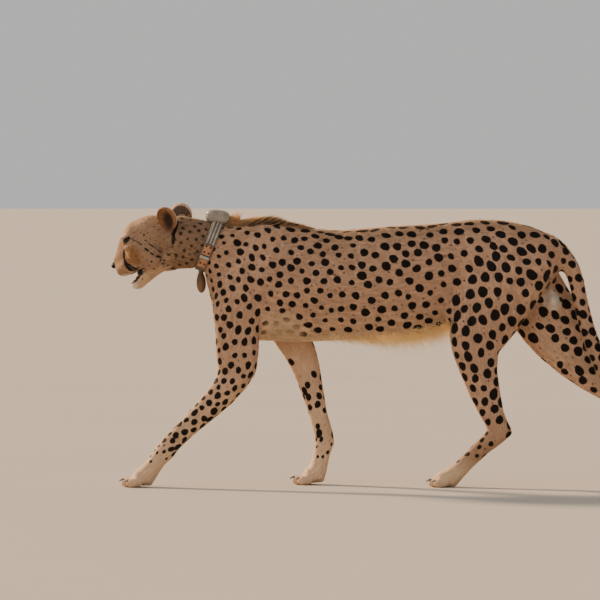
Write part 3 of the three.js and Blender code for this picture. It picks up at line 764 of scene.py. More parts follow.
def lie_of_coat():
    """The direction in which the hair lies, along the surface."""
    flow = np.tile([1.0, 0.0, -0.15], (COUNT, 1))
    flow[:, 2] -= 0.25 * np.abs(NORMALS[:, 1]) * belongs("chest", "belly", "hips")
    for name, parts in {"tail": TAIL, **LIMBS}.items():
        mine, axis = belongs(*parts), AXES[name]
        flow[mine] = along_axis(axis, POINTS[mine])[2]
        if name in LIMBS:
            # High on a leg the hair still lies back, as on the flank.
            top = belongs(parts[0])
            height = smooth(POINTS[top][:, 2], axis[1][2] + 0.05, axis[0][2])[:, None]
            flow[top] += height * np.array([0.8, 0.0, 0.2])
    # On the face it lies away from the nose, and on an ear away from its root.
    away = unit(POINTS[FACE] - from_head(92, 0, -42))
    flow[FACE] = unit(away + 0.25 * -HEAD_AXES[0])
    flow[belongs("scrotum")] = (0.2, 0.0, -1.0)
    for name, side in EAR_SIDES.items():
        mine = belongs(name)
        ahead, out, up = EAR["at"]
        flow[mine] = unit(POINTS[mine] - from_head(ahead, side * out * 0.75, up - 30))
    flow = spread(unit(flow), 24)
    flow -= NORMALS * (flow * NORMALS).sum(axis=1, keepdims=True)
    return unit(flow)


FLOW = lie_of_coat()
ACROSS = unit(np.cross(NORMALS, FLOW))

# ---- Markings ----
INNER = smooth(-NORMALS[:, 1] * np.sign(POINTS[:, 1]), 0.1, 0.7)  # facing the opposite leg
IN_LEG = sum(belongs(*parts) for parts in LIMBS.values()).astype(float)
LOWER_LEG = IN_LEG * smooth(POINTS[:, 2], KNEE_HEIGHT + 0.02, KNEE_HEIGHT - 0.06)
UNDER = smooth(-NORMALS[:, 2], 0.62, 0.95) * (1 - IN_LEG)

# Part: radius of a spot and the distance between neighbours, in millimetres, and the share that is kept.
SPOT_SIZES = {
    "neck": (7.0, 25, 1.0), "chest": (9.8, 31, 1.0), "belly": (11.4, 34, 1.0), "hips": (12.3, 34, 1.0),
    "upper_arm": (9.4, 28, 1.0), "forearm": (9.2, 24, 1.0), "thigh": (13.0, 34, 1.0),
    "shank": (12.2, 31, 1.0), "cannon": (7.0, 25, 0.85), "paw": (5.4, 17, 0.9),
    "tail_base": (11.0, 27, 1.0), "tail_middle": (12.0, 28, 1.0), "tail_tip": (11.0, 30, 0.0),
    "scrotum": (4.0, 22, 0.0), "head": (2.4, 13.5, 0.7), "lower_jaw": (2.2, 15, 0.25),
    "ear_left": (2.0, 20, 0.0), "ear_right": (2.0, 20, 0.0),
}
NECK_SPOTS = (4.6, 21, 0.85)  # ahead of the collar


def by_part(table, neck):
    """Each vertex's row of a table by part: the legs share their rows, and the neck's front has its own."""
    values = np.zeros((COUNT, 3))
    for k, name in enumerate(PARTS):
        values[PART_OF == k] = table[name if name in table else name.split("_", 2)[2]]
    values[belongs("neck") & (COLLAR_GAP > 0)] = neck
    return values


def spot_sizes():
    """Fewer spots on the inner sides of the forelegs, on the feet and below."""
    values = spread(by_part(SPOT_SIZES, NECK_SPOTS), 14)
    values[:, 2] *= 1 - 0.85 * INNER * FORE_LEGS * smooth(POINTS[:, 2], 0.29, 0.33)
    values[:, 2] *= 1 - 0.95 * IN_LEG * smooth(POINTS[:, 2], 0.085, 0.065)
    values[:, 2] *= (1 - 0.3 * INNER * LOWER_LEG) * (1 - 0.9 * UNDER * belongs("chest", "belly", "hips"))
    return values


SPOT_RADIUS, SPOT_GAP, SPOT_SHARE = spot_sizes().T


SKIN_TREE = tree_of(POINTS)


def within(i, reach_mm):
    """The vertices that lie within reach of one of them."""
    return np.array([k for _, k, _ in SKIN_TREE.find_range(POINTS[i], reach_mm * MM)])


RELAX_SAMPLES, RELAX_STEP = 40000, 0.65


def scatter(gaps, chosen_from, relax=5):
    """Vertices spread evenly over the skin, each about its own gap from its neighbours.

    In each of the `relax` rounds they move towards the middle of the ground that is nearest to them.
    """
    order = rng.permutation(np.flatnonzero(chosen_from))
    free = np.zeros(COUNT, bool)
    free[order] = True
    centres = []
    for i in order:
        if free[i]:
            centres.append(i)
            for _, k, _ in SKIN_TREE.find_range(POINTS[i], gaps[i]):
                free[k] = False
    centres = np.array(centres)
    pool = order[:RELAX_SAMPLES]
    for _ in range(relax):
        tree = tree_of(POINTS[centres])
        owner = np.array([tree.find(POINTS[i])[1] for i in pool])
        count = np.maximum(np.bincount(owner, minlength=len(centres)), 1)[:, None]
        sums = np.stack([np.bincount(owner, POINTS[pool][:, k], len(centres)) for k in range(3)], axis=1)
        goal = sums / count
        moved = (1 - RELAX_STEP) * POINTS[centres] + RELAX_STEP * goal
        centres = np.unique([SKIN_TREE.find(p)[1] for p in moved])
    return centres


CLEAR_MM, FAR_MM = 12.0, 20.0  # distances to the edge of a marking that count as none near
FLECK_GAP_MM, FLECK_FREE_MM, FLECK_SHARE = 13, 5.5, 0.42  # small pale dots between the spots


def paint_spots():
    """For each vertex the distance in millimetres to the nearest spot's edge, and how dark that spot is."""
    edge = np.full(COUNT, CLEAR_MM)
    ink = np.ones(COUNT)
    place = rng.random(COUNT)
    spots = scatter(SPOT_GAP * 0.88 * MM, SPOT_SHARE > 0.05)
    spots = spots[place[spots] < SPOT_SHARE[spots]]
    back = smooth(NORMALS[:, 2], 0.55, 0.95) * ON_TRUNK
    tree = tree_of(POINTS[spots])
    flecks = scatter(np.full(COUNT, FLECK_GAP_MM * MM), SPOT_SHARE > 0.5, relax=0)
    free = np.array([tree.find(POINTS[i])[2] for i in flecks]) / MM > SPOT_RADIUS[flecks] + FLECK_FREE_MM
    flecks = flecks[free & (rng.random(len(flecks)) < FLECK_SHARE) & ~belongs("head")[flecks]]
    for kind, chosen in ((0, flecks), (1, spots)):
        for i in chosen:
            radius = SPOT_RADIUS[i] * rng.uniform(0.74, 1.16) if kind else rng.uniform(1.6, 3.6)
            long = rng.uniform(1.0, 1.12) + 0.45 * back[i] + 0.2 * IN_LEG[i] * rng.random()
            dark = 1.0 if kind else rng.uniform(0.3, 0.8)
            turn, lobes = rng.uniform(0, 2 * np.pi, 2), rng.uniform(0.01, 0.055, 2)
            near = within(i, radius * long + 9)
            offset = (POINTS[near] - POINTS[i]) / MM
            tilt = rng.normal(0, 0.25)
            f = math.cos(tilt) * FLOW[i] + math.sin(tilt) * ACROSS[i]
            c = math.cos(tilt) * ACROSS[i] - math.sin(tilt) * FLOW[i]
            p, q, h = offset @ f / long, offset @ c * math.sqrt(long), offset @ NORMALS[i]
            angle = np.arctan2(q, p)
            wobble = 1 + lobes[0] * np.cos(2 * angle + turn[0]) + lobes[1] * np.cos(3 * angle + turn[1])
            gap = np.sqrt(p * p + q * q + h * h) * wobble - radius
            closer = gap < edge[near]
            edge[near[closer]] = gap[closer]
            ink[near[closer]] = dark
    return edge, ink


EDGE, INK = paint_spots()


# The tail's rings, as shares of its length.
RINGS_FROM = 0.66
RING_AT = np.array([0.70, 0.765, 0.83, 0.893, 0.948])
RING_HALF = np.array([0.014, 0.017, 0.020, 0.022, 0.020])


def tail_rings():
    """Towards its end the tail has dark rings, and a pale tip."""
    mine = belongs("tail_middle", "tail_tip")
    along, angle, _ = along_axis(TAIL_AXIS, POINTS[mine])
    length = np.linalg.norm(np.diff(TAIL_AXIS, axis=0), axis=1).sum() / MM
    bent = along + 0.006 * np.cos(angle) + 0.003 * np.cos(3 * angle + along * 30)
    gap = (np.abs(bent[:, None] - RING_AT) - RING_HALF).min(axis=1) * length
    late = along > RINGS_FROM
    EDGE[mine] = np.where(late, gap, EDGE[mine])
    INK[mine] = np.where(late, 1.0, INK[mine])
    white = np.zeros(COUNT)
    white[mine] = smooth(along, 0.965, 0.98)
    return white


TAIL_WHITE = tail_rings()


def mane_share():
    """Shares of the erect mane of nape and withers and of its front tuft, and how far behind the collar."""
    behind = (POINTS[:, 0] - BEHIND_COLLAR) / MM
    spine = smooth(0.030 - np.abs(POINTS[:, 1]), 0, 0.018) * smooth(NORMALS[:, 2], 0.25, 0.7)
    spine *= belongs("neck", "chest")
    hump = smooth(behind, -4, 30) * (1 - 0.85 * smooth(behind, 70, 190)) * (1 - smooth(behind, 190, 260))
    tuft = smooth(behind, -6, 6) * (1 - smooth(behind, 24, 44))
    return spine * hump, spine * tuft, behind


MANE, MANE_TUFT, BEHIND_MM = mane_share()
STREAK_GAP_MM, STREAK_HALF_MM, STREAKS_FROM_MM = 21, 4.2, 58
PLAIN_HAIR_MM, STREAK_INK = 6.0, 0.92
ARMPIT_MM = (205, 18)  # behind and above the chest's front lower corner


def mark_mane():
    """Dark streaks run across the mane, all but its front part, and no spot shows in it."""
    streak = (BEHIND_MM + 0.45 * np.abs(POINTS[:, 1]) / MM) % STREAK_GAP_MM
    streak = np.abs(streak - STREAK_GAP_MM / 2) - STREAK_HALF_MM
    in_mane = np.maximum(MANE, MANE_TUFT) > 0.12
    EDGE[in_mane] = np.where(BEHIND_MM < STREAKS_FROM_MM, PLAIN_HAIR_MM, streak)[in_mane]
    INK[in_mane] = STREAK_INK


def fade_armpit():
    """The spots fade out in the soft hair of the armpit."""
    reach = np.linalg.norm((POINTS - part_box("chest")[0])[:, [0, 2]] / MM - ARMPIT_MM, axis=1)
    return 1 - 0.75 * belongs("chest") * smooth(75 - reach, 0, 40)


mark_mane()
INK *= fade_armpit()


def stroke(lines):
    """How close each vertex of the head is to a bent line: the distance to its edge, in millimetres.

    A line is a list of points (ahead, out, up, half-width), the same on both sides of the head.
    """
    near = np.flatnonzero(belongs("head", "lower_jaw", "neck", "ear_left", "ear_right"))
    at = PAIRED[near]
    gap = np.full(COUNT, FAR_MM)
    best = np.full(len(near), FAR_MM)
    for line in lines:
        line = np.array(line, float)
        if len(line) == 1:
            best = np.minimum(best, np.linalg.norm(at - line[0, :3], axis=1) - line[0, 3])
        for start, end in zip(line, line[1:]):
            run = end[:3] - start[:3]
            share = np.clip((at - start[:3]) @ run / (run @ run), 0, 1)
            width = start[3] + share * (end[3] - start[3])
            best = np.minimum(best, np.linalg.norm(at - start[:3] - share[:, None] * run, axis=1) - width)
    gap[near] = best
    return gap


# The black lines and dots of the face, the same on both sides: points ahead, out and up, and half-widths.
FACE_LINES = [
    [(13, 33, -6, 3.6), (23, 33, -22, 3.8), (29, 35, -45, 3.2), (26, 38, -62, 6.8), (16, 38, -77, 9.5),
     (3, 35, -86, 7.0)],  # tear line, from the eye to the corner of the mouth
    [(38, 33, -74, 1.6)], [(33, 35, -84, 1.8)], [(23, 36, -87, 2.6), (14, 36, -89, 2.0)],
    [(38, 34, -66, 1.2)],
    # From the eye to the cheek.
    [(-2, 47, 8, 2.4), (-10, 47, 5, 1.2), (-30, 56, -9, 1.1), (-44, 60, -22, 1.7)],
    [(-52, 61, -34, 2.4), (-58, 61, -42, 3.0)],
    [(-63, 60, -50, 2.0), (-69, 59, -57, 2.6)],
    [(-76, 54, -64, 2.8), (-86, 47, -70, 3.4)],
    [(-62, 54, -22, 1.6), (-72, 50, -36, 1.8), (-78, 47, -43, 1.6)],
    [(-82, 45, -50, 2.6), (-90, 42, -58, 3.4)],
    [(-100, 38, -66, 2.4), (-107, 38, -70, 2.8)], [(-88, 39, -81, 3.0)],
    [(-55, 50, 3, 2.8)], [(-56, 53, -13, 2.4)],
    # Behind the ear: the black fur of the ear's back, and below it a painted shadow of the ear.
    [(-149, 14, 13, 4.0), (-146, 23, 4, 4.5), (-141, 30, -6, 5.5), (-135, 36, -17, 6.5), (-130, 40, -37, 5.0),
     (-123, 41, -51, 2.5)],  # behind the ear
    [(74, 0, -64, 1.0), (68, 0, -80, 0.9), (64, 0, -92, 0.9)],  # below the nose
]
LIPS = [
    [(-16, 30, -91, 1.6), (4, 33, -91, 1.4), (28, 33, -96, 1.2), (50, 24, -97, 1.1), (64, 8, -96, 1.0)],
    [(-16, 28, -96, 1.8), (4, 25, -104, 1.8), (24, 21, -113, 1.8), (38, 12, -121, 1.6), (42, 0, -123, 1.4)],
]
WHISKER_ROOTS = [
    (58 - 9 * col - 3 * row, 27 + 2.2 * col + 1.2 * row, -64 - 6.5 * row - 1.2 * col)
    for row in range(4) for col in range(5)
]
CHEEK_FLECK_GAP_MM = 6.5
EYE_RIM_REACH_MM, NOSE_RIM_MM = 24, 4.0


def mark(gap, dark=1.0):
    closer = gap < EDGE
    EDGE[closer] = gap[closer]
    INK[closer & (gap < 2)] = dark


def paint_face():
    """Clears the random dots from the muzzle, and draws lines, lips, whisker roots, lids and the nose."""
    EDGE[FACE & (smooth(AHEAD, -4, 10) * smooth(-UP, -34, 4) > 0.25)] = CLEAR_MM
    # The dots are fainter on the cheek, the crown and the front of the neck.
    INK[FACE & (np.abs(UP + 35) < 32) & (OUT > 25)] *= 0.45
    crown = FACE & (UP > -8)
    INK[crown] *= 0.25 + 0.35 * smooth(-AHEAD[crown], 0, 60)
    INK[belongs("neck") & (COLLAR_GAP > 0)] *= 0.85
    # The brown cheek is closely flecked.
    cheek = FACE & (reach_of((-4, 48, -40), (34, 26, 30)) < 1.1)
    for i in scatter(np.full(COUNT, CHEEK_FLECK_GAP_MM * MM), cheek, relax=0):
        near = within(i, 6)
        gap = np.linalg.norm(POINTS[near] - POINTS[i], axis=1) / MM - rng.uniform(0.8, 2.0)
        closer = gap < EDGE[near]
        EDGE[near[closer]], INK[near[closer]] = gap[closer], rng.uniform(0.25, 0.6)
    mark(stroke(FACE_LINES))
    mark(stroke(LIPS))
    mark(stroke([[(*root, 1.0)] for root in WHISKER_ROOTS]), 0.85)
    at = (PAIRED - EYE_AT_MM).T
    slot, ahead = eye_opening(at, 1)
    thick = 2.4 + 2.2 * smooth(at[0], 6, -6)
    near_eye = FACE & (ahead > 0) & (np.hypot(np.hypot(*at[:2]), at[2]) < EYE_RIM_REACH_MM)
    mark(np.where(near_eye, slot - thick, FAR_MM))
    mark(np.where(FACE, NOSE_GAP - NOSE_RIM_MM, FAR_MM))


def mouth_share():
    """1 inside the mouth, 0 on the coat."""
    roof, back = (np.abs(ellipsoid(AHEAD, OUT, UP, *hollow)) for hollow in (MOUTH_ROOF, MOUTH_BACK))
    jaw_top = smooth(NORMALS @ HEAD_AXES[2], 0.1, 0.5) * smooth(24 - OUT, 0, 5)
    jaw_top = jaw_top * smooth(-UP, 84, 90) * smooth(AHEAD, -20, -14)
    inside = np.maximum(smooth(2.2 - roof, 0, 1.2), smooth(2.5 - back, 0, 1.5) * smooth(AHEAD, -14, -8))
    inside = np.maximum(inside, jaw_top) * FACE * smooth(-UP, 80, 86) * smooth(38 - AHEAD, -12, 0)
    return np.clip(inside, 0, 1)


paint_face()
IN_MOUTH = mouth_share()
EDGE[IN_MOUTH > 0.4] = CLEAR_MM


EAR_REACH_MM, EAR_PATCH_INK = 52, 0.84


def ear_places():
    """For each vertex of an ear its place in millimetres from the ear's middle, and how far it faces forward.

    The place is ahead through the opening, across it and up.
    """
    place, facing = np.zeros((COUNT, 3)), np.zeros(COUNT)
    for name, side in EAR_SIDES.items():
        middle, axes = ear_middle(side), ear_axes(side)
        near = np.linalg.norm(IN_HEAD - middle, axis=1) < EAR_REACH_MM
        mine = near & belongs(name, "head", "neck")
        place[mine] = (IN_HEAD[mine] - middle) @ axes.T
        facing[belongs(name)] = (NORMALS[belongs(name)] @ HEAD_AXES.T) @ axes[0]
    return place, facing


EAR_PLACE, EAR_FACING = ear_places()
EAR_ACROSS, EAR_UP = EAR_PLACE[:, 1], EAR_PLACE[:, 2]


def mark_ears():
    """The black patch on the back of each ear."""
    patch = (np.hypot(EAR_ACROSS / 29, (EAR_UP + 6) / 31) - 1) * 29
    mark(np.where(smooth(-EAR_FACING, 0.0, 0.3) * EARS > 0.5, patch, FAR_MM), EAR_PATCH_INK)


mark_ears()


# ---- Colours ----
def srgb(code):
    """A colour such as "c8986a" as linear red, green and blue."""
    values = np.array([int(code[i : i + 2], 16) for i in (0, 2, 4)]) / 255
    return np.where(values <= 0.04045, values / 12.92, ((values + 0.055) / 1.055) ** 2.4)


TAN, BACK_TAN, PALE, WHITE = srgb("c59c7e"), srgb("bd9574"), srgb("dfbf9a"), srgb("efe3d0")
NECK_BROWN, CHEEK_BROWN, MUZZLE_BROWN = srgb("997a5f"), srgb("8a5f38"), srgb("8c6748")
SHANK_BROWN_AND_SHADE, EAR_BROWN, EAR_HOLLOW_SHADE = srgb("94704f"), srgb("7d4f2c"), srgb("2c2019")
GOLD_AND_GLOW, GINGER, MOUTH_SHADE = srgb("fff0c8"), srgb("e8c698"), srgb("120c0a")


def blended(colour, toward, share):
    return colour + (toward - colour) * np.clip(share, 0, 1)[:, None]


def paint_ground():
    """The coat's colour under its spots: each row lays a colour over those before it, by a share."""
    height, downward = POINTS[:, 2], -NORMALS[:, 2]
    armpit = np.array(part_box("chest")[0]) + np.array([0.20, 0.0, 0.04])
    near_pit = np.linalg.norm((POINTS - armpit)[:, [0, 2]] / [0.09, 0.05], axis=1)
    leg = IN_LEG * (1 - smooth(height, 0.44, 0.54))
    hind = belongs(*[part for side in HIND for part in LIMBS[side][1:]])
    eye, below_eye = reach_of((8, 34, 13), (16, 14, 8)), reach_of((12, 40, -20), (10, 12, 12))
    cheek = reach_of((-8, 48, -42), (34, 26, 30))
    colour = np.tile(TAN, (COUNT, 1))
    for toward, share in (
        (BACK_TAN, ON_TRUNK * smooth(NORMALS[:, 2], 0.2, 0.9)),
        (PALE, ON_TRUNK * smooth(downward, 0.6, 0.97) * 0.9),
        (NECK_BROWN, belongs("neck") * smooth(COLLAR_GAP, -0.03, 0.03) * 0.9),
        (PALE, belongs("chest") * smooth(1.3 - near_pit, 0, 0.8) * 0.7),
        (PALE, leg * INNER * 0.2),
        # The lower foreleg grows paler: partly its paler coat, partly painted light.
        (PALE, FORE_LEGS * smooth(height, 0.50, 0.10) * 0.5),
        (PALE, IN_LEG * smooth(height, 0.14, 0.03) * 0.25),
        # The lower hind leg is darker: partly its brown coat, partly painted shade.
        (SHANK_BROWN_AND_SHADE, hind * smooth(height, 0.22, 0.10) * 0.6),
        (PALE, hind * smooth(height, 0.09, 0.04) * 0.7),
        (PALE, belongs("belly", "chest") * smooth(height, 0.52, 0.44) * 0.35),
        (PALE, belongs(*TAIL) * smooth(downward, 0.0, 0.8) * 0.5),
        (GINGER, np.maximum(MANE * 0.8, MANE_TUFT) * 1.5),
        (WHITE, TAIL_WHITE),
        (WHITE, belongs("scrotum") * 0.8),
        (NECK_BROWN, FACE * 0.75),
        (MUZZLE_BROWN, FACE * smooth(AHEAD, 8, 34) * 0.6),
        (PALE, FACE * smooth(-UP, 88, 104) * 0.5),
        (WHITE, FACE * smooth(-UP, 84, 97) * smooth(AHEAD, 10, 40) * 0.85),
        (PALE, FACE * smooth(1.5 - eye, 0, 0.7) * 0.5),
        (PALE, FACE * smooth(1.3 - below_eye, 0, 0.7) * 0.35),
        (CHEEK_BROWN, FACE * smooth(1.3 - cheek, 0, 0.6) * 0.85),
        (BACK_TAN, FACE * smooth(UP, 10, 40) * 0.6),
    ):
        colour = blended(colour, toward, share)
    colour = spread(colour, 6)
    inside = EARS * smooth(EAR_FACING, -0.2, 0.2) * smooth(EAR_PLACE[:, 0], -12, -9)
    # Deep in the ear's hollow the inside darkens to near black: painted shade.
    deep_shade = smooth(1.15 - np.hypot(EAR_ACROSS / 22, (EAR_UP + 7) / 36), 0, 0.75)
    # Inside the mouth the colour is a near black painted shade.
    for toward, share in ((EAR_BROWN, inside * 0.85), (EAR_HOLLOW_SHADE, inside * deep_shade), (MOUTH_SHADE, IN_MOUTH)):
        colour = blended(colour, toward, share)
    return colour


GROUND = paint_ground()


# ---- Materials ----
def add(tree, kind, wanted, inputs, **settings):
    """Adds a node with its settings, sets or links its sockets, and gives back the output that is wanted."""
    made = tree.nodes.new(kind)
    for key, value in settings.items():
        setattr(made, key, value)
    for key, value in inputs.items():
        if isinstance(value, bpy.types.NodeSocket):
            tree.links.new(value, made.inputs[key])
        else:
            made.inputs[key].default_value = value
    return made.outputs[wanted]


def finish_of(name, **values):
    """A new material, its node tree, and its surface shader with plain values set on the shader's sockets."""
    made = bpy.data.materials.new(name)
    made.use_nodes = True
    shader = made.node_tree.nodes["Principled BSDF"]
    for key, value in values.items():
        socket = shader.inputs[key.replace("_", " ")]
        socket.default_value = (*srgb(value), 1.0) if isinstance(value, str) else value
    return made, made.node_tree, shader


def colour(code):
    return (*srgb(code), 1.0)


def per_mm(size):
    """The scale of a pattern whose features are this many millimetres apart."""
    return 1.0 / (size * MM)


def lay(tree, shader, sockets):
    for key, value in sockets.items():
        tree.links.new(value, shader.inputs[key])


def hair_shade(tree, place, on_skin):
    """How light the coat is from place to place, and the pattern of its single hairs."""
    tone = add(tree, "ShaderNodeAttribute", "Fac", {}, attribute_name="tone")
    lie = add(tree, "ShaderNodeAttribute", "Vector", {}, attribute_name="lie")
    shade = add(tree, "ShaderNodeMapRange", "Result", {"Value": tone, "To Min": 0.76, "To Max": 1.24})
    # Cloudy patches of a hand's breadth, and fine variation from hair to hair.
    for size, low, high in ((70, 0.92, 1.08), (2.4, 0.88, 1.12)):
        cloud = add(
            tree, "ShaderNodeTexNoise", "Fac", {"Vector": place, "Scale": per_mm(size), "Detail": 3.0}
        )
        cloud = add(
            tree, "ShaderNodeMapRange", "Result",
            {"Value": cloud, "From Min": 0.3, "From Max": 0.7, "To Min": low, "To Max": high},
        )
        shade = add(tree, "ShaderNodeMath", "Value", {0: shade, 1: cloud}, operation="MULTIPLY")
    # Locks about three hairs wide lie together and catch the light together.
    locks = add(tree, "ShaderNodeTexNoise", "Fac", {"Vector": lie, "Scale": 0.32, "Detail": 2.0})
    locks = add(
        tree, "ShaderNodeMapRange", "Result",
        {"Value": locks, "From Min": 0.32, "From Max": 0.68, "To Min": 0.80, "To Max": 1.16},
    )
    shade = add(tree, "ShaderNodeMath", "Value", {0: shade, 1: locks}, operation="MULTIPLY")
    hair = add(
        tree, "ShaderNodeTexNoise", "Fac", {"Vector": lie, "Scale": 1.0, "Detail": 3.0, "Roughness": 0.7}
    )
    if on_skin:
        streak = add(
            tree, "ShaderNodeMapRange", "Result",
            {"Value": hair, "From Min": 0.3, "From Max": 0.7, "To Min": 0.84, "To Max": 1.12},
        )
        shade = add(tree, "ShaderNodeMath", "Value", {0: shade, 1: streak}, operation="MULTIPLY")
    return shade, hair


def spot_share(tree, place):
    """How far the black of a marking covers the coat's colour."""
    # The edge of a spot is ragged by about the width of a lock of hair.
    ragged = add(tree, "ShaderNodeTexNoise", "Fac", {"Vector": place, "Scale": per_mm(3.3), "Detail": 2.0})
    ragged = add(
        tree, "ShaderNodeMapRange", "Result",
        {"Value": ragged, "From Min": 0.2, "From Max": 0.8, "To Min": -1.3, "To Max": 1.3},
    )
    edge = add(tree, "ShaderNodeAttribute", "Fac", {}, attribute_name="edge")
    edge = add(tree, "ShaderNodeMath", "Value", {0: edge, 1: ragged}, operation="ADD")
    share = add(
        tree, "ShaderNodeMapRange", "Result",
        {"Value": edge, "From Min": -1.0, "From Max": 1.1, "To Min": 1.0, "To Max": 0.0},
        interpolation_type="SMOOTHSTEP",
    )
    ink = add(tree, "ShaderNodeAttribute", "Fac", {}, attribute_name="ink")
    return add(tree, "ShaderNodeMath", "Value", {0: share, 1: ink}, operation="MULTIPLY")


def coat_finish(name, on_skin=False, see_through=0.0):
    """Short dense hair: dull, with little gloss and a soft sheen at grazing angles. Keratin's index is 1.55.

    Long fine hair lets part of the light from behind through, which makes it glow.
    """
    made, tree, shader = finish_of(
        name, Roughness=0.72, IOR=1.55, Specular_IOR_Level=0.18,
        Sheen_Weight=0.34, Sheen_Roughness=0.34, Sheen_Tint="f6dfbc",
    )
    place = add(tree, "ShaderNodeTexCoord", "Object", {})
    ground = add(tree, "ShaderNodeAttribute", "Vector", {}, attribute_name="ground")
    shade, hair = hair_shade(tree, place, on_skin)
    lit = add(
        tree, "ShaderNodeMix", "Result", {"Factor": 1.0, "A": ground, "B": shade},
        data_type="RGBA", blend_type="MULTIPLY",
    )
    share = spot_share(tree, place)
    faded = add(tree, "ShaderNodeTexNoise", "Fac", {"Vector": place, "Scale": per_mm(25)})
    black = add(
        tree, "ShaderNodeMix", "Result", {"Factor": faded, "A": colour("0c0807"), "B": colour("1d130e")},
        data_type="RGBA",
    )
    base = add(tree, "ShaderNodeMix", "Result", {"Factor": share, "A": lit, "B": black}, data_type="RGBA")
    lay(tree, shader, {"Base Color": base})
    if on_skin:
        normal = add(
            tree, "ShaderNodeBump", "Normal", {"Height": hair, "Distance": 0.6 * MM, "Strength": 0.7}
        )
        lay(tree, shader, {"Normal": normal})
    if see_through:
        behind = add(tree, "ShaderNodeBsdfTranslucent", "BSDF", {"Color": base})
        both = add(
            tree, "ShaderNodeMixShader", "Shader", {0: see_through, 1: shader.outputs["BSDF"], 2: behind}
        )
        tree.links.new(both, tree.nodes["Material Output"].inputs["Surface"])
    return made


COAT_ON_SKIN, COAT_HAIR = coat_finish("short_coat_on_skin", on_skin=True), coat_finish("coat_hair")
FINE_HAIR = coat_finish("long_fine_hair", see_through=0.72)


# ---- Unwrap: how far along each part, and the angle round it ----
UNWRAPS = {"trunk": TRUNK + ["scrotum"], "tail": TAIL, "head": HEAD, **LIMBS}
LOCK_LONG, LOCK_WIDE, MEAN_GIRTH = 9 * MM, 1.1 * MM, 50 * MM


def unwrap(part, points):
    """Each point's place on the unwrapped skin of its part."""
    if part == "ears":
        at = to_head(points)
        made = np.zeros((len(points), 2))
        for sign in (-1, 1):
            mine = np.sign(at[:, 1]) == sign
            place = (at[mine] - ear_middle(sign)) @ ear_axes(sign).T
            made[mine, 0] = np.arctan2(place[:, 1], place[:, 2]) / (2 * np.pi) + 0.5
            reach = np.clip(np.hypot(place[:, 1], place[:, 2]) / EAR["size"][2], 0, 1)
            made[mine, 1] = 0.5 + sign * (0.25 * reach + 0.25 * (place[:, 0] > 0))
        return made
    along, angle, _ = along_axis(AXES[part], points)
    return np.stack([along, angle / (2 * np.pi) + 0.5], axis=1)


def lie_places():
    """Along and across the hair, so that a pattern of unit size makes streaks shaped like its locks."""
    lie = np.zeros((COUNT, 3))
    for part, names in UNWRAPS.items():
        mine = belongs(*names)
        along, angle, _ = along_axis(AXES[part], POINTS[mine])
        length = np.linalg.norm(np.diff(AXES[part], axis=0), axis=1).sum()
        lie[mine, 0] = along * length / LOCK_LONG
        lie[mine, 1] = angle * MEAN_GIRTH / LOCK_WIDE
    return lie


def keep(obj, slot, finish, *replaced):
    """Gives a piece its finish and hides the solids that it stands for. The slot is not used."""
    obj.data.materials.append(finish)
    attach(obj, "root")
    if replaced:
        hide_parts(*replaced)


LIE = lie_places()
SKIN_TONE = np.full(COUNT, 0.42)
for key, values in (("edge", EDGE), ("ink", INK), ("ground", GROUND), ("lie", LIE), ("tone", SKIN_TONE)):
    set_attribute(SKIN, key, values)
keep(SKIN, "coat", COAT_ON_SKIN, *BODY, *HEAD)

# ---- Coat ----
UNDER_COLLAR = belongs("neck", "chest") & (np.abs(COLLAR_GAP) < 15 * MM)
# Part: length and width of a tuft in millimetres, and its lift in degrees.
HAIR_SIZES = {
    "neck": (10.5, 1.6, 13), "chest": (10.0, 1.6, 12), "belly": (10.0, 1.6, 12), "hips": (10.0, 1.6, 12),
    "upper_arm": (9.5, 1.5, 12), "forearm": (7.0, 1.3, 11), "thigh": (10.0, 1.5, 12),
    "shank": (8.0, 1.4, 12), "cannon": (5.5, 1.2, 10), "paw": (4.0, 1.0, 10),
    "tail_base": (10.0, 1.5, 13), "tail_middle": (12.0, 1.6, 16), "tail_tip": (15.0, 1.7, 20),
    "scrotum": (7.0, 1.2, 24), "head": (6.0, 0.95, 12), "lower_jaw": (5.0, 0.9, 13),
    "ear_left": (2.4, 0.7, 4), "ear_right": (2.4, 0.7, 4),
}
NECK_HAIR = (10.0, 1.3, 15)  # ahead of the collar


def hair_sizes():
    """The tufts' sizes at each vertex, shorter and thinner towards the nose."""
    sizes = spread(by_part(HAIR_SIZES, NECK_HAIR), 20)
    face = FACE * smooth(AHEAD, -40, 20)
    sizes[:, 0] *= 1 - 0.5 * face
    sizes[:, 1] *= 1 - 0.25 * face
    return sizes


HAIR = hair_sizes()
# No hair grows in the mouth, on the nose and the eyes, under the collar and on the soles.
BARE = np.maximum.reduce([
    IN_MOUTH,
    belongs("head") * smooth(3 - NOSE_GAP, 0, 2),
    belongs("head") * smooth(17.2 - np.linalg.norm(PAIRED - EYE_AT_MM, axis=1), 0, 0.6),
    UNDER_COLLAR.astype(float),
    smooth(5 * MM - POINTS[:, 2], 0, 2 * MM),
])


def pick(chosen, count, weight=None):
    """Places on the skin, each as the corners of a triangle and their shares."""
    faces = TRIANGLES[chosen[TRIANGLES].all(axis=1)]
    share = areas_of(POINTS[faces]) * (1 - BARE[faces].max(axis=1))
    if weight is not None:
        share = share * weight[faces].mean(axis=1)
    index, mix = random_places(share, count)
    return faces[index], np.concatenate([1 - mix.sum(axis=1, keepdims=True), mix], axis=1)


def at_places(places, values):
    faces, mix = places
    picked = values[faces]
    return (picked * mix.reshape(mix.shape + (1,) * (picked.ndim - 2))).sum(axis=1)


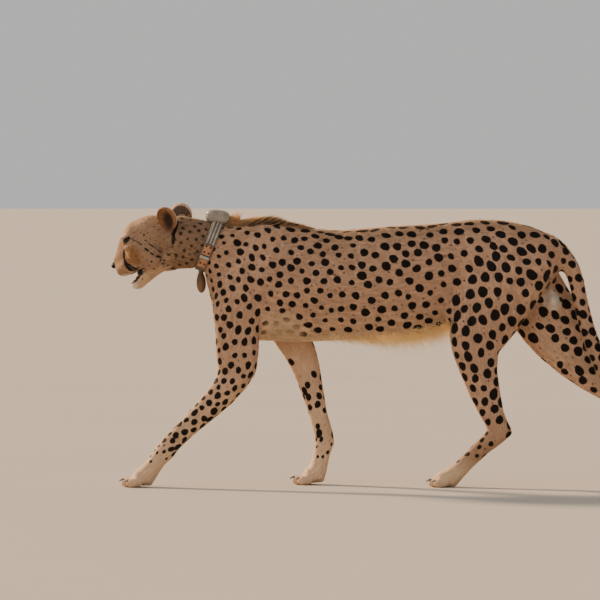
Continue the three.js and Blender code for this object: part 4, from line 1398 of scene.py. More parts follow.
def slope_of(values, places):
    """The slope of vertex values across each place's triangle, per metre."""
    faces = places[0]
    first = POINTS[faces[:, 0]]
    a, b = POINTS[faces[:, 1]] - first, POINTS[faces[:, 2]] - first
    n = np.cross(a, b)
    up_a, up_b = values[faces[:, 1]] - values[faces[:, 0]], values[faces[:, 2]] - values[faces[:, 0]]
    area = np.maximum((n * n).sum(axis=1), 1e-18)[:, None]
    return (up_a[:, None] * np.cross(b, n) + up_b[:, None] * np.cross(n, a)) / area


ROOT_DEPTH, SOFT_ROUND = 0.5 * MM, 11 * MM
PATCH_HALF, PATCH_MARGIN = 0.0015, 0.004  # on the unwrapped skin, which is 1 across


def hair_axes(places, normal, spray, lean):
    """The directions along each tuft, across it and away from the skin."""
    flow = at_places(places, FLOW)
    if lean is None:
        flow = unit(flow - normal * (flow * normal).sum(axis=1, keepdims=True))
    else:
        flow = unit(0.3 * flow + lean)
    across = unit(np.cross(normal, flow))
    swing = np.radians(rng.normal(0, spray, len(normal)))[:, None]
    turn, aside = np.cos(swing), np.sin(swing)
    flow, across = flow * turn + across * aside, across * turn - flow * aside
    upward = unit(np.cross(flow, across))
    upward = np.where((upward * normal).sum(axis=1, keepdims=True) < 0, -upward, upward)
    return flow, across, upward


def tuft_faces(rings):
    """The triangles of one tuft: its root, its sides and its tip."""
    tip = 3 * rings
    faces = [(0, 2, 1)]
    for k in range(0, tip - 3, 3):
        for i, j in ((0, 1), (1, 2), (2, 0)):
            faces += [(k + i, k + j, k + 3 + i), (k + j, k + 3 + j, k + 3 + i)]
    return np.array(faces + [(tip - 3, tip - 2, tip), (tip - 2, tip - 1, tip), (tip - 1, tip - 3, tip)])


def lay_patches(obj, part, root, rings, faces):
    """Lays each tuft as a small patch at its root's place on the unwrapped skin."""
    patch = np.array([[-1, -1], [1, -1], [0, 0.2]] * rings + [[0, 1]]) * PATCH_HALF
    at = unwrap(part, root)
    at, across_all = at - at.min(axis=0), np.maximum(at.max(axis=0) - at.min(axis=0), 1e-6)
    at = PATCH_MARGIN + (1 - 2 * PATCH_MARGIN) * at / across_all
    spots = np.clip(at[:, None] + patch, 0, 1).reshape(-1, 2)
    layer = obj.data.uv_layers.new(name="OFBake")
    layer.data.foreach_set("uv", spots[faces.ravel()].astype(np.float32).ravel())


def grow(
    name, part, places, length, width, lift, spray=9.0, rings=1, bend=0.0, lean=None, tones=(0.25, 0.75),
    tint=None, finish=COAT_HAIR,
):
    """Tapering three-sided tufts, rooted just under the skin and lying along it.

    `spray` is the spread of their directions in degrees, `rings` the number of sections below the tip, `bend`
    the degrees by which the tip turns down, `lean` a direction in which the hair stands or hangs instead of
    lying flat, `tones` the range of lightness, and `tint` a colour other than the coat's.
    """
    count = len(places[0])
    root = at_places(places, POINTS)
    normal = unit(at_places(places, NORMALS))
    flow, across, upward = hair_axes(places, normal, spray, lean)
    size = (length * rng.uniform(0.7, 1.2, count) * MM)[:, None]
    half = (width * rng.uniform(0.75, 1.2, count) * MM / 2)[:, None]
    rise = np.radians(lift * rng.uniform(0.5, 1.5, count))[:, None]
    centre = root - normal * ROOT_DEPTH - (flow * size * 0.4 if rings == 1 else 0.0)
    sections = []
    for k in range(rings):
        taper = half * (1 - k / rings) ** 0.7
        sections += [centre - across * taper, centre + across * taper, centre + upward * taper * 1.1]
        angle = rise - math.radians(bend) * k / rings
        centre = centre + (flow * np.cos(angle) + upward * np.sin(angle)) * size / rings
    sections.append(centre)
    points = np.stack(sections, axis=1)
    corners = 3 * rings + 1
    faces = (np.arange(count)[:, None, None] * corners + tuft_faces(rings)).reshape(-1, 3)
    obj = mesh_object(name, points.reshape(-1, 3), faces)
    ground = at_places(places, GROUND) if tint is None else np.tile(tint, (count, 1))
    ink = at_places(places, INK) * (1.0 if tint is None else 0.0)
    lie, tone = at_places(places, LIE), rng.uniform(*tones, count)
    for key, values in (("ink", ink), ("ground", ground), ("lie", lie), ("tone", tone)):
        set_attribute(obj, key, np.repeat(values, corners, axis=0))
    # Flat hair shows the markings of the skin it lies on, standing hair those of its root.
    slope = slope_of(EDGE, places) * (0.8 if lean is None else 0.0)
    edge = at_places(places, EDGE)[:, None] + ((points - root[:, None]) * slope[:, None]).sum(axis=2)
    set_attribute(obj, "edge", edge.ravel())
    # Shaded mostly as the skin beneath, so that the coat looks soft.
    if lean is None:
        soft = normal[:, None] + (points - points.mean(axis=1, keepdims=True)) / SOFT_ROUND
    else:
        soft = 0.25 * normal[:, None] + np.stack([-across, across, upward] * rings + [upward], axis=1)
    soft = unit(soft).reshape(-1, 3)
    obj.data.normals_split_custom_set_from_vertices(soft.astype(np.float32))
    lay_patches(obj, part, root, rings, faces)
    keep(obj, "ear_coat" if part == "ears" else "coat", finish)


def short_coat():
    left = POINTS[:, 1] < 0
    front, rear = belongs("neck", "chest"), belongs("belly", "hips", "scrotum")
    coats = [
        ("front_left", "trunk", front & left, 33000), ("front_right", "trunk", front & ~left, 33000),
        ("rear_left", "trunk", rear & left, 30000), ("rear_right", "trunk", rear & ~left, 30000),
        ("tail", "tail", belongs(*TAIL), 16000), ("head", "head", FACE, 42000), ("ears", "ears", EARS, 8000),
    ]
    coats += [(leg, leg, belongs(*parts), 21000 if leg in FORE else 24000) for leg, parts in LIMBS.items()]
    for name, part, chosen, tufts in coats:
        places = pick(chosen, tufts)
        grow(f"coat_{name}", part, places, *at_places(places, HAIR).T)


def grow_long(name, count, where, weight, base, more, share, spread_of_length, *shape, **settings):
    """Hair whose length in millimetres grows from `base` by `more` where it is fullest."""
    places = pick(where, count, weight)
    length = (base + more * at_places(places, share)) * rng.uniform(*spread_of_length, count)
    grow(name, "trunk", places, length, *shape, rings=3, finish=FINE_HAIR, **settings)


MANE_LEAN, TUFT_LEAN, FRINGE_LEAN = (
    np.array(direction) for direction in ([0.85, 0.0, 0.42], [0.35, 0.0, 0.9], [0.3, 0.0, -0.9])
)
FRINGE_LONG, FRINGE_AHEAD = 0.36, 0.09  # along the belly, and how far ahead of its solid it starts
ARMPIT_AT, ARMPIT_SIZE = np.array([0.20, 0.0, 0.03]), np.array([0.11, 0.13, 0.08])


def long_hair():
    # The erect mane on the nape and withers, lying back, with a tuft that stands just behind the collar.
    grow_long(
        "mane", 5200, MANE > 0.01, MANE**0.5, 12, 38, MANE, (0.5, 1.15), 1.3, 5,
        spray=9, bend=8, lean=MANE_LEAN, tones=(0.3, 1.2),
    )
    grow_long(
        "mane_tuft", 900, MANE_TUFT > 0.02, MANE_TUFT, 16, 26, MANE_TUFT, (0.5, 1.15), 1.2, 4,
        spray=15, bend=6, lean=TUFT_LEAN, tones=(0.4, 1.2),
    )
    # The fringe hangs from the belly, longest before the flank.
    along = (POINTS[:, 0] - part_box("belly")[0][0] + FRINGE_AHEAD) / FRINGE_LONG
    fringe = smooth(along, -0.1, 0.75) * (1 - smooth(along, 0.97, 1.08))
    fringe = fringe * smooth(0.06 - np.abs(POINTS[:, 1]), 0, 0.035)
    fringe *= smooth(-NORMALS[:, 2], 0.55, 0.9) * belongs("chest", "belly", "hips")
    # Its pale gold and tones up to 1.3 are partly the hair's own colour, partly a painted glow of light from
    # behind.
    grow_long(
        "belly_fringe", 3800, fringe > 0.01, fringe**0.6, 14, 44, fringe, (0.35, 1.2), 0.8, 4,
        spray=26, bend=20, lean=FRINGE_LEAN, tones=(0.6, 1.3), tint=GOLD_AND_GLOW,
    )
    # Softer hair in the armpits.
    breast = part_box("chest")[0]
    middle = np.array([breast[0], 0.0, breast[2]]) + ARMPIT_AT
    pit = smooth(1.0 - np.abs((POINTS - middle) / ARMPIT_SIZE).max(axis=1), 0, 0.5) * belongs("chest")
    places = pick(pit > 0.02, 2600, pit)
    grow("armpit_hair", "trunk", places, 13, 1.1, 10, spray=14, rings=2, bend=10, tones=(0.25, 0.95))
    # The tuft at the end of the tail.
    end = smooth(along_axis(TAIL_AXIS, POINTS)[0], 0.86, 0.95) * belongs("tail_tip")
    places = pick(end > 0.02, 2200, end)
    grow("tail_tuft", "tail", places, 22, 1.5, 13, spray=11, rings=3, bend=12, tones=(0.2, 0.9))
    # Ruffled hair on the cheeks and throat, lying back towards the neck.
    ruff = belongs("head", "lower_jaw", "neck") * smooth(-AHEAD, 60, 100) * smooth(-UP, -20, 20)
    ruff = ruff * (COLLAR_GAP > 22 * MM)
    places = pick(ruff > 0.02, 5500, ruff)
    grow("cheek_ruff", "head", places, 12, 1.1, 11, spray=11, rings=2, bend=12, tones=(0.15, 0.85))
    # Hair inside the front edge of the ears.
    out = np.hypot(EAR_ACROSS / 33, EAR_UP / 36)
    inner = smooth(EAR_FACING, 0.15, 0.5) * EARS * smooth(out, 0.4, 0.7) * smooth(-EAR_ACROSS, -30, 6)
    inner = inner * smooth(0.9 - out, 0, 0.2)
    places = pick(inner > 0.05, 500, inner)
    grow("ear_hair", "ears", places, 7, 0.6, 10, spray=16, rings=2, bend=25, tones=(0.3, 0.8), tint=EAR_BROWN)


short_coat()
long_hair()


# ---- Smooth shapes made of rings ----
def lofts(name, tubes, closed=False):
    """One object of several skins over rings of points; `closed` joins each last ring to the first."""
    points, faces = [], []
    for tube in tubes:
        tube = np.asarray(tube, float)
        count, sides = tube.shape[:2]
        start = len(points)
        points.extend(tube.reshape(-1, 3))
        for i in range(count if closed else count - 1):
            low, high = start + i * sides, start + (i + 1) % count * sides
            for j in range(sides):
                k = (j + 1) % sides
                faces += [(low + j, low + k, high + k), (low + j, high + k, high + j)]
        if not closed:
            for ring, order in ((tube[0], -1), (tube[-1], 1)):
                base = start if order < 0 else start + (count - 1) * sides
                points.append(ring.mean(axis=0))
                faces += [(base + j, base + (j + 1) % sides, len(points) - 1)[::order] for j in range(sides)]
    return mesh_object(name, points, faces)


def turned(middle, axis, heights, radii, sides=24, flat=1.0):
    """Rings round an axis, at heights along it; `flat` narrows them one way."""
    axis = unit(axis)
    side = unit(np.cross(axis, [0.0, 1.0, 0.0] if abs(axis[1]) < 0.9 else [1.0, 0.0, 0.0]))
    other = np.cross(axis, side)
    angles = round_angles(sides)[:, None]
    ring = np.cos(angles) * side + flat * np.sin(angles) * other
    return [middle + h * axis + r * ring for h, r in zip(heights, radii)]


# ---- Eyes ----
EYE_TURN_DEG = 24  # how far each eye looks out to its side
EYE_SIDES, POLE = 48, 0.01
CORNEA = {"half_deg": 34, "rise": 1.1}


def eye_finish():
    """A wet eye: amber iris painted dark as if in shade, round pupil and dark white, under a clear glossy
    cornea of index 1.38.
    """
    made, tree, shader = finish_of(
        "eye_under_wet_cornea", Roughness=0.5, IOR=1.38, Specular_IOR_Level=0.25,
        Coat_Weight=0.15, Coat_Roughness=0.06,
    )
    off = add(tree, "ShaderNodeAttribute", "Fac", {}, attribute_name="off_mm")
    place = add(tree, "ShaderNodeTexCoord", "Object", {})
    rays = add(tree, "ShaderNodeTexNoise", "Fac", {"Vector": place, "Scale": per_mm(1.4), "Detail": 3.0})
    # The amber of the iris is darkened to a deep brown as painted shade from the brow.
    iris = add(
        tree, "ShaderNodeMix", "Result", {"Factor": rays, "A": colour("3d220c"), "B": colour("7a4f1e")},
        data_type="RGBA",
    )
    # The iris's dark rim, the dark white of the eye, and the pupil, by the distance from its middle.
    for start, end, code in ((7.0, 9.0, "120b07"), (9.2, 11.0, "1c1410"), (3.9, 3.5, "030202")):
        share = add(tree, "ShaderNodeMapRange", "Result", {"Value": off, "From Min": start, "From Max": end})
        iris = add(
            tree, "ShaderNodeMix", "Result", {"Factor": share, "A": iris, "B": colour(code)}, data_type="RGBA"
        )
    lay(tree, shader, {"Base Color": iris})
    return made


def add_eyes():
    finish = eye_finish()
    for label, world_side in SIDES.items():
        turn = math.radians(EYE_TURN_DEG)
        gaze = np.array([math.cos(turn), -world_side * math.sin(turn), -0.06]) @ HEAD_AXES
        swing = np.linspace(POLE, np.pi - POLE, 64)
        ball = LID["ball"] + CORNEA["rise"] * smooth(math.radians(CORNEA["half_deg"]) - swing, 0, 0.35)
        rings = turned(EYES[label], gaze, ball * np.cos(swing) * MM, ball * np.sin(swing) * MM, EYE_SIDES)
        eye = lofts(f"eye_{label}_ball", [rings])
        off = np.concatenate([np.repeat(swing * LID["ball"], EYE_SIDES), [0.0, np.pi * LID["ball"]]])
        set_attribute(eye, "off_mm", off)
        keep(eye, "eyeball", finish, f"eye_{label}")


# ---- Nose, tongue, teeth and whiskers ----
def wet_skin(name, code, other, roughness, pore, depth):
    """Bare moist skin, darker in its furrows, with a soft gloss. Index 1.4."""
    made, tree, shader = finish_of(
        name, Roughness=roughness, IOR=1.4, Specular_IOR_Level=0.35, Coat_Weight=0.06, Coat_Roughness=0.25
    )
    place = add(tree, "ShaderNodeTexCoord", "Object", {})
    cells = add(tree, "ShaderNodeTexVoronoi", "Distance", {"Vector": place, "Scale": per_mm(pore)})
    tone = add(
        tree, "ShaderNodeMix", "Result", {"Factor": cells, "A": colour(other), "B": colour(code)},
        data_type="RGBA",
    )
    normal = add(
        tree, "ShaderNodeBump", "Normal", {"Height": cells, "Distance": depth * MM, "Strength": 0.8},
        invert=True,
    )
    lay(tree, shader, {"Base Color": tone, "Normal": normal})
    return made


def add_nose():
    middle = from_head(*NOSE_AT_MM)
    field = Field(middle - 24 * MM, middle + 24 * MM, 0.7 * MM)
    a, l, u = head_grid(field)
    at = NOSE_AT_MM
    pad = ellipsoid(a, l, u, tuple(at), (9.6, 14, 9.4))
    # The front face slopes back below, and the top is flat.
    pad = -join(-pad, 7.0 - 0.88 * (a - at[0]) + 0.48 * (u - at[2]), 4.0)
    for side in (-1, 1):
        pad = join(pad, ellipsoid(a, l, u, (at[0] - 3, side * 9.5, at[2] - 2), (9.5, 6, 6)), 3.5)
        pad = carve(pad, ellipsoid(a, l, u, (at[0] + 6.5, side * 6, at[2] - 2.5), (6, 3.4, 2.6)), 1.2)
        pad = carve(pad, ellipsoid(a, l, u, (at[0] + 2, side * 14, at[2] - 3.5), (8, 4, 1.5)), 1.0)
    pad = carve(pad, np.maximum(np.abs(l) - 0.5, np.maximum(u - at[2] - 1, at[0] - a)), 1.5)
    nose = mesh_object("nose", *field.surface(pad * np.float32(MM)))
    keep(nose, "nose_skin", wet_skin("moist_nose_leather", "120e0c", "060404", 0.55, 1.3, 0.25), "nose_pad")


def add_tongue():
    low, high = corners_of("tongue")
    field = Field(low - 6 * MM, high + 6 * MM, 1.0 * MM)
    _, l, u = head_grid(field)
    body = field.blur(field.around(["tongue"], band=12 * MM), 1.6 * MM) / np.float32(MM) + 0.6
    body = body + 1.2 * np.exp(-((l / 2.5) ** 2)) * (u > -104)
    tongue = mesh_object("tongue_in_mouth", *field.surface(body * np.float32(MM)))
    keep(tongue, "tongue_skin", wet_skin("rough_tongue", "7c443f", "5a2c2a", 0.5, 1.6, 0.4), "tongue")


def add_teeth():
    """Canines and small front teeth behind the lips, of worn ivory enamel."""
    rows = [(34, 10.5, -88, 5, 2.4, -1), (29, 10.0, -119, 5, 2.4, 1)]
    rows += [(42 - out / 2, out, -89, 3.2, 1.4, -1) for out in (1.6, 4.6, 7.6)]
    rows += [(37 - out / 2, out, -116.5, 3.0, 1.3, 1) for out in (1.5, 4.2, 6.9)]
    tubes = []
    for ahead, out, up, long, half, direction in rows:
        for side in (-1, 1):
            share = np.linspace(0, 0.97, 10)
            root = np.array([ahead, side * out, up])
            bend = np.array([-0.22 * long, 0.0, 0.0])
            centres = root + np.outer(share * long * direction, [0, 0, 1]) + np.outer(share**2, bend)
            angles = round_angles(10)
            ring = np.stack([np.cos(angles), 0.8 * np.sin(angles), np.zeros(10)], axis=1)
            sizes = [math.sqrt(1 - s**1.6) for s in share]
            tubes.append([from_head_all(c + ring * half * size) for c, size in zip(centres, sizes)])
    made, tree, shader = finish_of("tooth_enamel", Roughness=0.28, IOR=1.62)
    place = add(tree, "ShaderNodeTexCoord", "Object", {})
    stain = add(tree, "ShaderNodeTexNoise", "Fac", {"Vector": place, "Scale": per_mm(3)})
    tone = add(
        tree, "ShaderNodeMix", "Result", {"Factor": stain, "A": colour("cdbf9c"), "B": colour("e6dcc2")},
        data_type="RGBA",
    )
    lay(tree, shader, {"Base Color": tone})
    keep(lofts("teeth", tubes), None, made)


def from_head_all(points):
    return HEAD_MIDDLE + (np.asarray(points) * MM) @ HEAD_AXES


def add_whiskers():
    """Stiff pale hairs on the lip and above the eye, sweeping back and down."""
    tubes = []
    roots = [(root, 46) for root in WHISKER_ROOTS[::3]] + [((12, 34, 20), 24), ((8, 37, 19), 20)]
    for (ahead, out, up), long in roots:
        for side in (-1, 1):
            size = long * rng.uniform(0.75, 1.15)
            share = np.linspace(0, 1, 9)[:, None]
            sweep = np.array([-0.55, 0.62 * side, -0.18 if up < 0 else 0.7]) + rng.normal(0, 0.08, 3)
            droop = np.array([-0.35, 0.0, -0.22])
            path = np.array([ahead, side * (out - 1), up]) + size * (share * sweep + share**2 * droop)
            angles = round_angles(4)[:, None]
            ring = np.cos(angles) * [0, 0, 1] + np.sin(angles) * [0.6, 0, 0]
            tubes.append([from_head_all(p + ring * 0.24 * (1 - 0.8 * s)) for p, s in zip(path, share[:, 0])])
    made, _, _ = finish_of("whisker_keratin", Base_Color="c9b8a0", Roughness=0.35, IOR=1.55)
    keep(lofts("whiskers", tubes), "coat", made)


# ---- Claws ----
def claw_finish():
    """Horn: dark at the root, paler and a little glossy at the worn tip. Index 1.56."""
    made, tree, shader = finish_of("claw_horn", Roughness=0.34, IOR=1.56)
    along = add(tree, "ShaderNodeAttribute", "Fac", {}, attribute_name="along")
    place = add(tree, "ShaderNodeTexCoord", "Object", {})
    grain = add(tree, "ShaderNodeTexNoise", "Fac", {"Vector": place, "Scale": per_mm(1.2), "Detail": 4.0})
    tone = add(
        tree, "ShaderNodeMix", "Result", {"Factor": along, "A": colour("3a2e25"), "B": colour("84725c")},
        data_type="RGBA",
    )
    tone = add(
        tree, "ShaderNodeMix", "Result", {"Factor": 0.4, "A": tone, "B": grain},
        data_type="RGBA", blend_type="OVERLAY",
    )
    normal = add(tree, "ShaderNodeBump", "Normal", {"Height": grain, "Distance": 0.15 * MM})
    lay(tree, shader, {"Base Color": tone, "Normal": normal})
    return made


CLAW_SIDES = 14


def add_claws():
    finish = claw_finish()
    share = np.linspace(0, 0.98, 14)
    arch = 4 * (share * (1 - share))[:, None] * np.array([0.0, 0.0, 1.6 * MM])
    for node in CLAWS:
        root, tip = claw_ends(node)
        root, tip = root - 0.4 * (tip - root), root + 0.5 * (tip - root)
        centres = root + share[:, None] * (tip - root) + arch
        along = np.gradient(centres, axis=0)
        half = 1.9 * MM * np.sqrt(1 - share**1.7)
        rings = [
            turned(c, d, [0.0], [h * 1.15], CLAW_SIDES, flat=0.62)[0] for c, d, h in zip(centres, along, half)
        ]
        claw = lofts(f"{node}_horn", [rings])
        set_attribute(claw, "along", np.concatenate([np.repeat(share, CLAW_SIDES), [0.0, 1.0]]))
        keep(claw, "claw_horn", finish, node)


# ---- Tracking collar ----
BELT_THICK, BELT_WIDE = 4.0, 30
PLATE_OUT = BELT_THICK + 0.3  # where the tabs lie, beyond the belt's inner face
TAB_WIDE, TAB_THICK = 23, 2.6
CLASP_WIDE, CLASP_THICK = 28, 3.6
CORD_WIDE, CORD_GAP = 5.4, 9.0
STITCH_AT, STITCH_GAP, STITCH_LONG = 13.4, 0.066, 0.04  # millimetres from the belt's middle, then radians
BOLT_APART = 6.2  # from the middle of the belt
POD_SIDES, POD_SQUARE = 64, 2.7


def collar_outline():
    """The collar's upward direction, and its level, half-width, top and bottom inside the belt, in metres."""
    points = node_points("collar_belt").astype(float) - COLLAR_MIDDLE
    upward = unit(np.cross([0.0, 1.0, 0.0], COLLAR_FORWARD))
    upward = upward if upward[2] > 0 else -upward
    height, out = points @ upward, np.abs(points[:, 1])
    level = height[out > 0.97 * out.max()].mean()
    inner = BELT_THICK * MM
    return upward, level, out.max() - inner, height.max() - level - inner, level - height.min() - inner


COLLAR_UP, COLLAR_LEVEL, COLLAR_HALF, COLLAR_RISE, COLLAR_DROP = collar_outline()


def on_collar(angle, out, along):
    """A point on the collar: its angle from the top to the left, and millimetres out and towards the head."""
    reach = COLLAR_RISE if math.cos(angle) > 0 else COLLAR_DROP
    side = -(COLLAR_HALF + out * MM) * math.sin(angle)
    height = COLLAR_LEVEL + (reach + out * MM) * math.cos(angle)
    return COLLAR_MIDDLE + np.array([0.0, side, 0.0]) + COLLAR_UP * height + COLLAR_FORWARD * along * MM


def collar_angle(height):
    """The angle at which the left side of the collar passes a height above the floor."""
    angles = np.linspace(0.1, np.pi - 0.1, 400)
    heights = [on_collar(t, BELT_THICK, 0)[2] for t in angles]
    return float(np.interp(-height, -np.array(heights), angles))


def band(angles, middle, width, low, high, edge):
    """Rings of a flat band that lies on the collar, with rounded long edges."""
    profile = [
        (-width / 2, low + edge), (-width / 2, high - edge), (-width / 2 + edge, high), (-width / 4, high),
        (0, high), (width / 4, high), (width / 2 - edge, high), (width / 2, high - edge),
        (width / 2, low + edge), (width / 2 - edge, low), (0, low), (-width / 2 + edge, low),
    ]
    return [[on_collar(t, out, middle + along) for along, out in profile] for t in angles]


def worn(
    name, code, other, size, depth, roughness, ior=1.5, kind="ShaderNodeTexNoise", stretch=(1, 1, 1), **more
):
    """A made surface with wear and dirt in its grain; the comment at each use says what it is."""
    made, tree, shader = finish_of(name, Roughness=roughness, IOR=ior, **more)
    place = add(tree, "ShaderNodeTexCoord", "Object", {})
    place = add(tree, "ShaderNodeMapping", "Vector", {"Vector": place, "Scale": stretch})
    wanted = "Fac" if kind == "ShaderNodeTexNoise" else "Distance"
    grain = add(tree, kind, wanted, {"Vector": place, "Scale": per_mm(size)})
    dirt = add(tree, "ShaderNodeTexNoise", "Fac", {"Vector": place, "Scale": per_mm(18), "Detail": 4.0})
    share = add(tree, "ShaderNodeMath", "Value", {0: grain, 1: dirt}, operation="MULTIPLY")
    share = add(tree, "ShaderNodeMapRange", "Result", {"Value": share, "From Min": 0.1, "From Max": 0.4})
    tone = add(
        tree, "ShaderNodeMix", "Result", {"Factor": share, "A": colour(other), "B": colour(code)},
        data_type="RGBA",
    )
    normal = add(tree, "ShaderNodeBump", "Normal", {"Height": grain, "Distance": depth * MM, "Strength": 0.8})
    lay(tree, shader, {"Base Color": tone, "Normal": normal})
    return made


def add_bolts(name, height, steel):
    """A pair of bolt heads, one each side of the belt's middle."""
    tubes = []
    angle = collar_angle(height)
    for along in (-BOLT_APART, BOLT_APART):
        foot = on_collar(angle, PLATE_OUT + 2.4, along)
        outward = unit(on_collar(angle, 20, along) - foot)
        heights = np.array([-1.0, 1.0, 1.7, 1.9, 1.9, 0.9]) * MM
        radii = np.array([2.8, 2.8, 2.2, 1.5, 1.2, 1.1]) * MM
        tubes.append(turned(foot, outward, heights, radii, sides=18))
    keep(lofts(name, tubes), "steel", steel)


def add_belt():
    """The belt, the cords sewn along it over the nape, and a row of stitches near each of its edges."""
    # Dusty polyester webbing, woven about 1.5 mm apart: matt, grey-brown.
    webbing = worn("dusty_webbing", "71665a", "443b33", 1.5, 0.5, 0.85, kind="ShaderNodeTexVoronoi")
    belt = lofts("collar_webbing", [band(round_angles(180), 0, BELT_WIDE, 0, BELT_THICK, 1.2)], closed=True)
    keep(belt, "webbing", webbing, "collar_belt")
    # Paler nylon cords, a little smoother, that end just above the upper tab.
    cord = worn("sewn_nylon_cord", "b3aa9c", "7d7367", 1.2, 0.3, 0.6)
    end = collar_angle(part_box("collar_plate_upper")[1][2] + 4 * MM)
    cords = []
    for side in (1, -1):
        for along in (-CORD_GAP, 0.0, CORD_GAP):
            angles = side * np.linspace(0.12, end, 40)[::side]
            cords.append(band(angles, along, CORD_WIDE, BELT_THICK - 0.6, BELT_THICK + 1.7, 1.1))
    keep(lofts("collar_cords", cords), "webbing", cord)
    # Waxed thread: pale, soiled to a grey-brown.
    thread = worn("waxed_thread", "cfc6b4", "9a8f7c", 0.8, 0.1, 0.6)
    stitches = []
    for along in (-STITCH_AT, STITCH_AT):
        for t in np.arange(0, 2 * np.pi, STITCH_GAP):
            angles = np.linspace(t, t + STITCH_LONG, 3)
            stitches.append(band(angles, along, 0.9, BELT_THICK - 0.3, BELT_THICK + 0.4, 0.25))
    keep(lofts("collar_stitching", stitches), "webbing", thread)


def strap(box, rings, width, thick, edge):
    """A band that lies over the belt from the top of a box to its foot."""
    angles = np.linspace(collar_angle(box[1][2]), collar_angle(box[0][2]), rings)
    return band(angles, 0, width, PLATE_OUT, PLATE_OUT + thick, edge)


def add_tabs():
    """The two tabs, the clasp's plate between them, and their bolts."""
    upper, clasp, lower = (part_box(f"collar_{part}") for part in ("plate_upper", "clasp", "plate_lower"))
    # Tan harness leather: waxy, creased at about 2 mm.
    leather = worn("harness_leather", "c48a62", "8f5c3c", 2.0, 0.3, 0.5)
    for name, box in (("upper", upper), ("lower", lower)):
        tab = lofts(f"collar_tab_{name}", [strap(box, 14, TAB_WIDE, TAB_THICK, 0.9)])
        keep(tab, "leather", leather, f"collar_plate_{name}")
    # Sanded steel plate, dull grey, and blackened bolts.
    plate = worn("sanded_steel", "b9bcc0", "8d9094", 0.8, 0.05, 0.32, stretch=(1, 12, 1), Metallic=1.0)
    bolt = worn("blackened_steel", "1c1a19", "0e0c0b", 0.8, 0.05, 0.4, Metallic=0.6)
    strip = strap(clasp, 8, CLASP_WIDE, CLASP_THICK, 0.7)
    keep(lofts("collar_clasp_plate", [strip]), "steel", plate, "collar_clasp")
    span = upper[1][2] - upper[0][2]
    add_bolts("collar_bolts_top", upper[1][2] - 0.14 * span, bolt)
    add_bolts("collar_bolts_middle", upper[0][2] + 0.26 * span, bolt)
    add_bolts("collar_bolts_low", (lower[0][2] + lower[1][2]) / 2, bolt)


def add_pod():
    """The transmitter: a flattened pebble in two halves, its seam a shallow groove."""
    # Cast epoxy: scuffed, its gloss dulled by dust.
    resin = worn("cast_epoxy", "a3978a", "75695b", 3.0, 0.15, 0.45)
    low, high = corners_of("collar_pod")
    half = np.array([(high[0] - low[0]) / 2, (high[1] - low[1]) / 2, 21 * MM])
    middle = np.array([(low[0] + high[0]) / 2, 0.0, high[2] - half[2]])
    angles = round_angles(POD_SIDES)
    rings = []
    for swing in np.linspace(0.03, np.pi - 0.03, 40):
        x = np.full(POD_SIDES, math.cos(swing))
        y, z = math.sin(swing) * np.cos(angles), math.sin(swing) * np.sin(angles)
        # A power above 2 squares the pebble off a little.
        square = sum(np.abs(v) ** POD_SQUARE for v in (x, y, z)) ** (-1 / POD_SQUARE)
        seam_depth = 1 - 0.03 * np.exp(-(((z * square - 0.1) / 0.045) ** 2))
        point = np.stack([x, y, z], axis=1) * (square * seam_depth)[:, None] * half
        point[:, 2] -= 0.10 * point[:, 0] + 2.2 * (point[:, 0] - 0.01) ** 2 * (point[:, 0] > 0.01)
        rings.append(middle + point)
    keep(lofts("collar_transmitter", [rings]), "pod_resin", resin, "collar_pod")


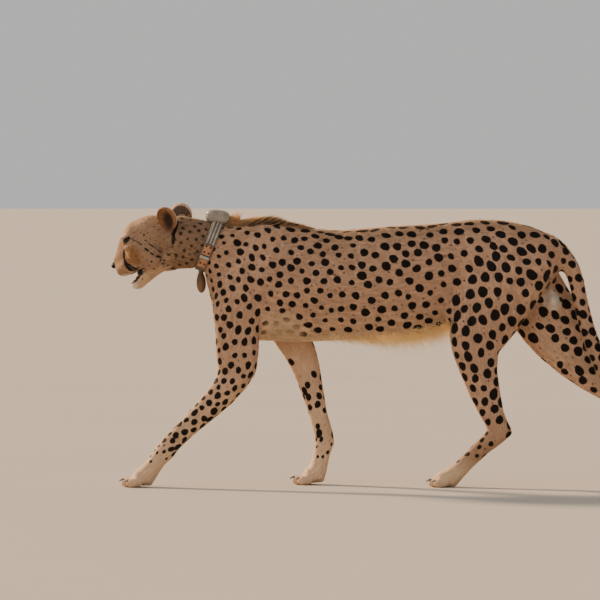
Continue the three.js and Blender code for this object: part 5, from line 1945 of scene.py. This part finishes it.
def add_battery():
    """A drop-shaped case that hangs from the belt by its narrow upper end."""
    # Moulded rubber: brown, matt and dusty.
    rubber = worn("moulded_rubber", "7d5c3d", "4a3423", 2.5, 0.25, 0.6)
    low, high = corners_of("collar_battery")
    foot = np.array([(low[0] + high[0]) / 2 - 1 * MM, 0.0, low[2]])
    top = on_collar(math.pi, 1.0, -2.0)
    share = np.linspace(0.004, 1, 40)
    swell = np.maximum(np.sin(np.pi * share**0.8) ** 0.6, 0.5 * smooth(share, 0.5, 0.8))
    angles = round_angles(40)[:, None]
    ring = np.cos(angles) * [(high[0] - low[0]) / 2, 0, 0] + np.sin(angles) * [0, (high[1] - low[1]) / 2, 0]
    rings = []
    for t, k in zip(share, swell):
        rings.append(foot + t * (top - foot) + k * ring * (1 - 0.02 * math.exp(-(((t - 0.4) / 0.02) ** 2))))
    keep(lofts("collar_battery_case", [rings]), "pod_resin", rubber, "collar_battery")


add_eyes()
add_nose()
add_tongue()
add_teeth()
add_whiskers()
add_claws()
add_belt()
add_tabs()
add_pod()
add_battery()


# ---- Floor and light ----
def add_sun(name, toward_light, strength, softness_deg, code):
    data = bpy.data.lights.new(name, "SUN")
    data.energy, data.angle, data.color = strength, math.radians(softness_deg), tuple(srgb(code))
    lamp = bpy.data.objects.new(name, data)
    bpy.context.scene.collection.objects.link(lamp)
    lamp.rotation_euler = (-Vector(toward_light)).to_track_quat("-Z", "Y").to_euler()


def add_stage():
    half = 150.0
    corners = [(-half, -half, 0), (half, -half, 0), (half, half, 0), (-half, half, 0)]
    floor = mesh_object("floor", corners, [(0, 1, 2, 3)])
    # Matt painted board: pale and warm, with no gloss to catch the lamps.
    made, tree, shader = finish_of("matt_floor_paint", Roughness=0.9, IOR=1.45, Specular_IOR_Level=0.1)
    place = add(tree, "ShaderNodeTexCoord", "Object", {})
    cloud = add(tree, "ShaderNodeTexNoise", "Fac", {"Vector": place, "Scale": per_mm(900)})
    tone = add(
        tree, "ShaderNodeMix", "Result", {"Factor": cloud, "A": colour("b8b1a6"), "B": colour("bdb6ab")},
        data_type="RGBA",
    )
    lay(tree, shader, {"Base Color": tone})
    floor.data.materials.append(made)
    world = bpy.data.worlds.new("studio")
    bpy.context.scene.world = world
    world.use_nodes = True
    background = world.node_tree.nodes["Background"]
    background.inputs["Color"].default_value = colour("e9e7e6")
    background.inputs["Strength"].default_value = 0.70
    # A broad soft light from the near side, and a warmer one from ahead and the far side that edges the coat.
    add_sun("soft_front", (-0.5, -0.9, 0.55), 0.55, 50, "f8f4ee")
    add_sun("warm_rim", (-0.70, 0.54, 0.46), 7.6, 8, "ffdab2")


add_stage()
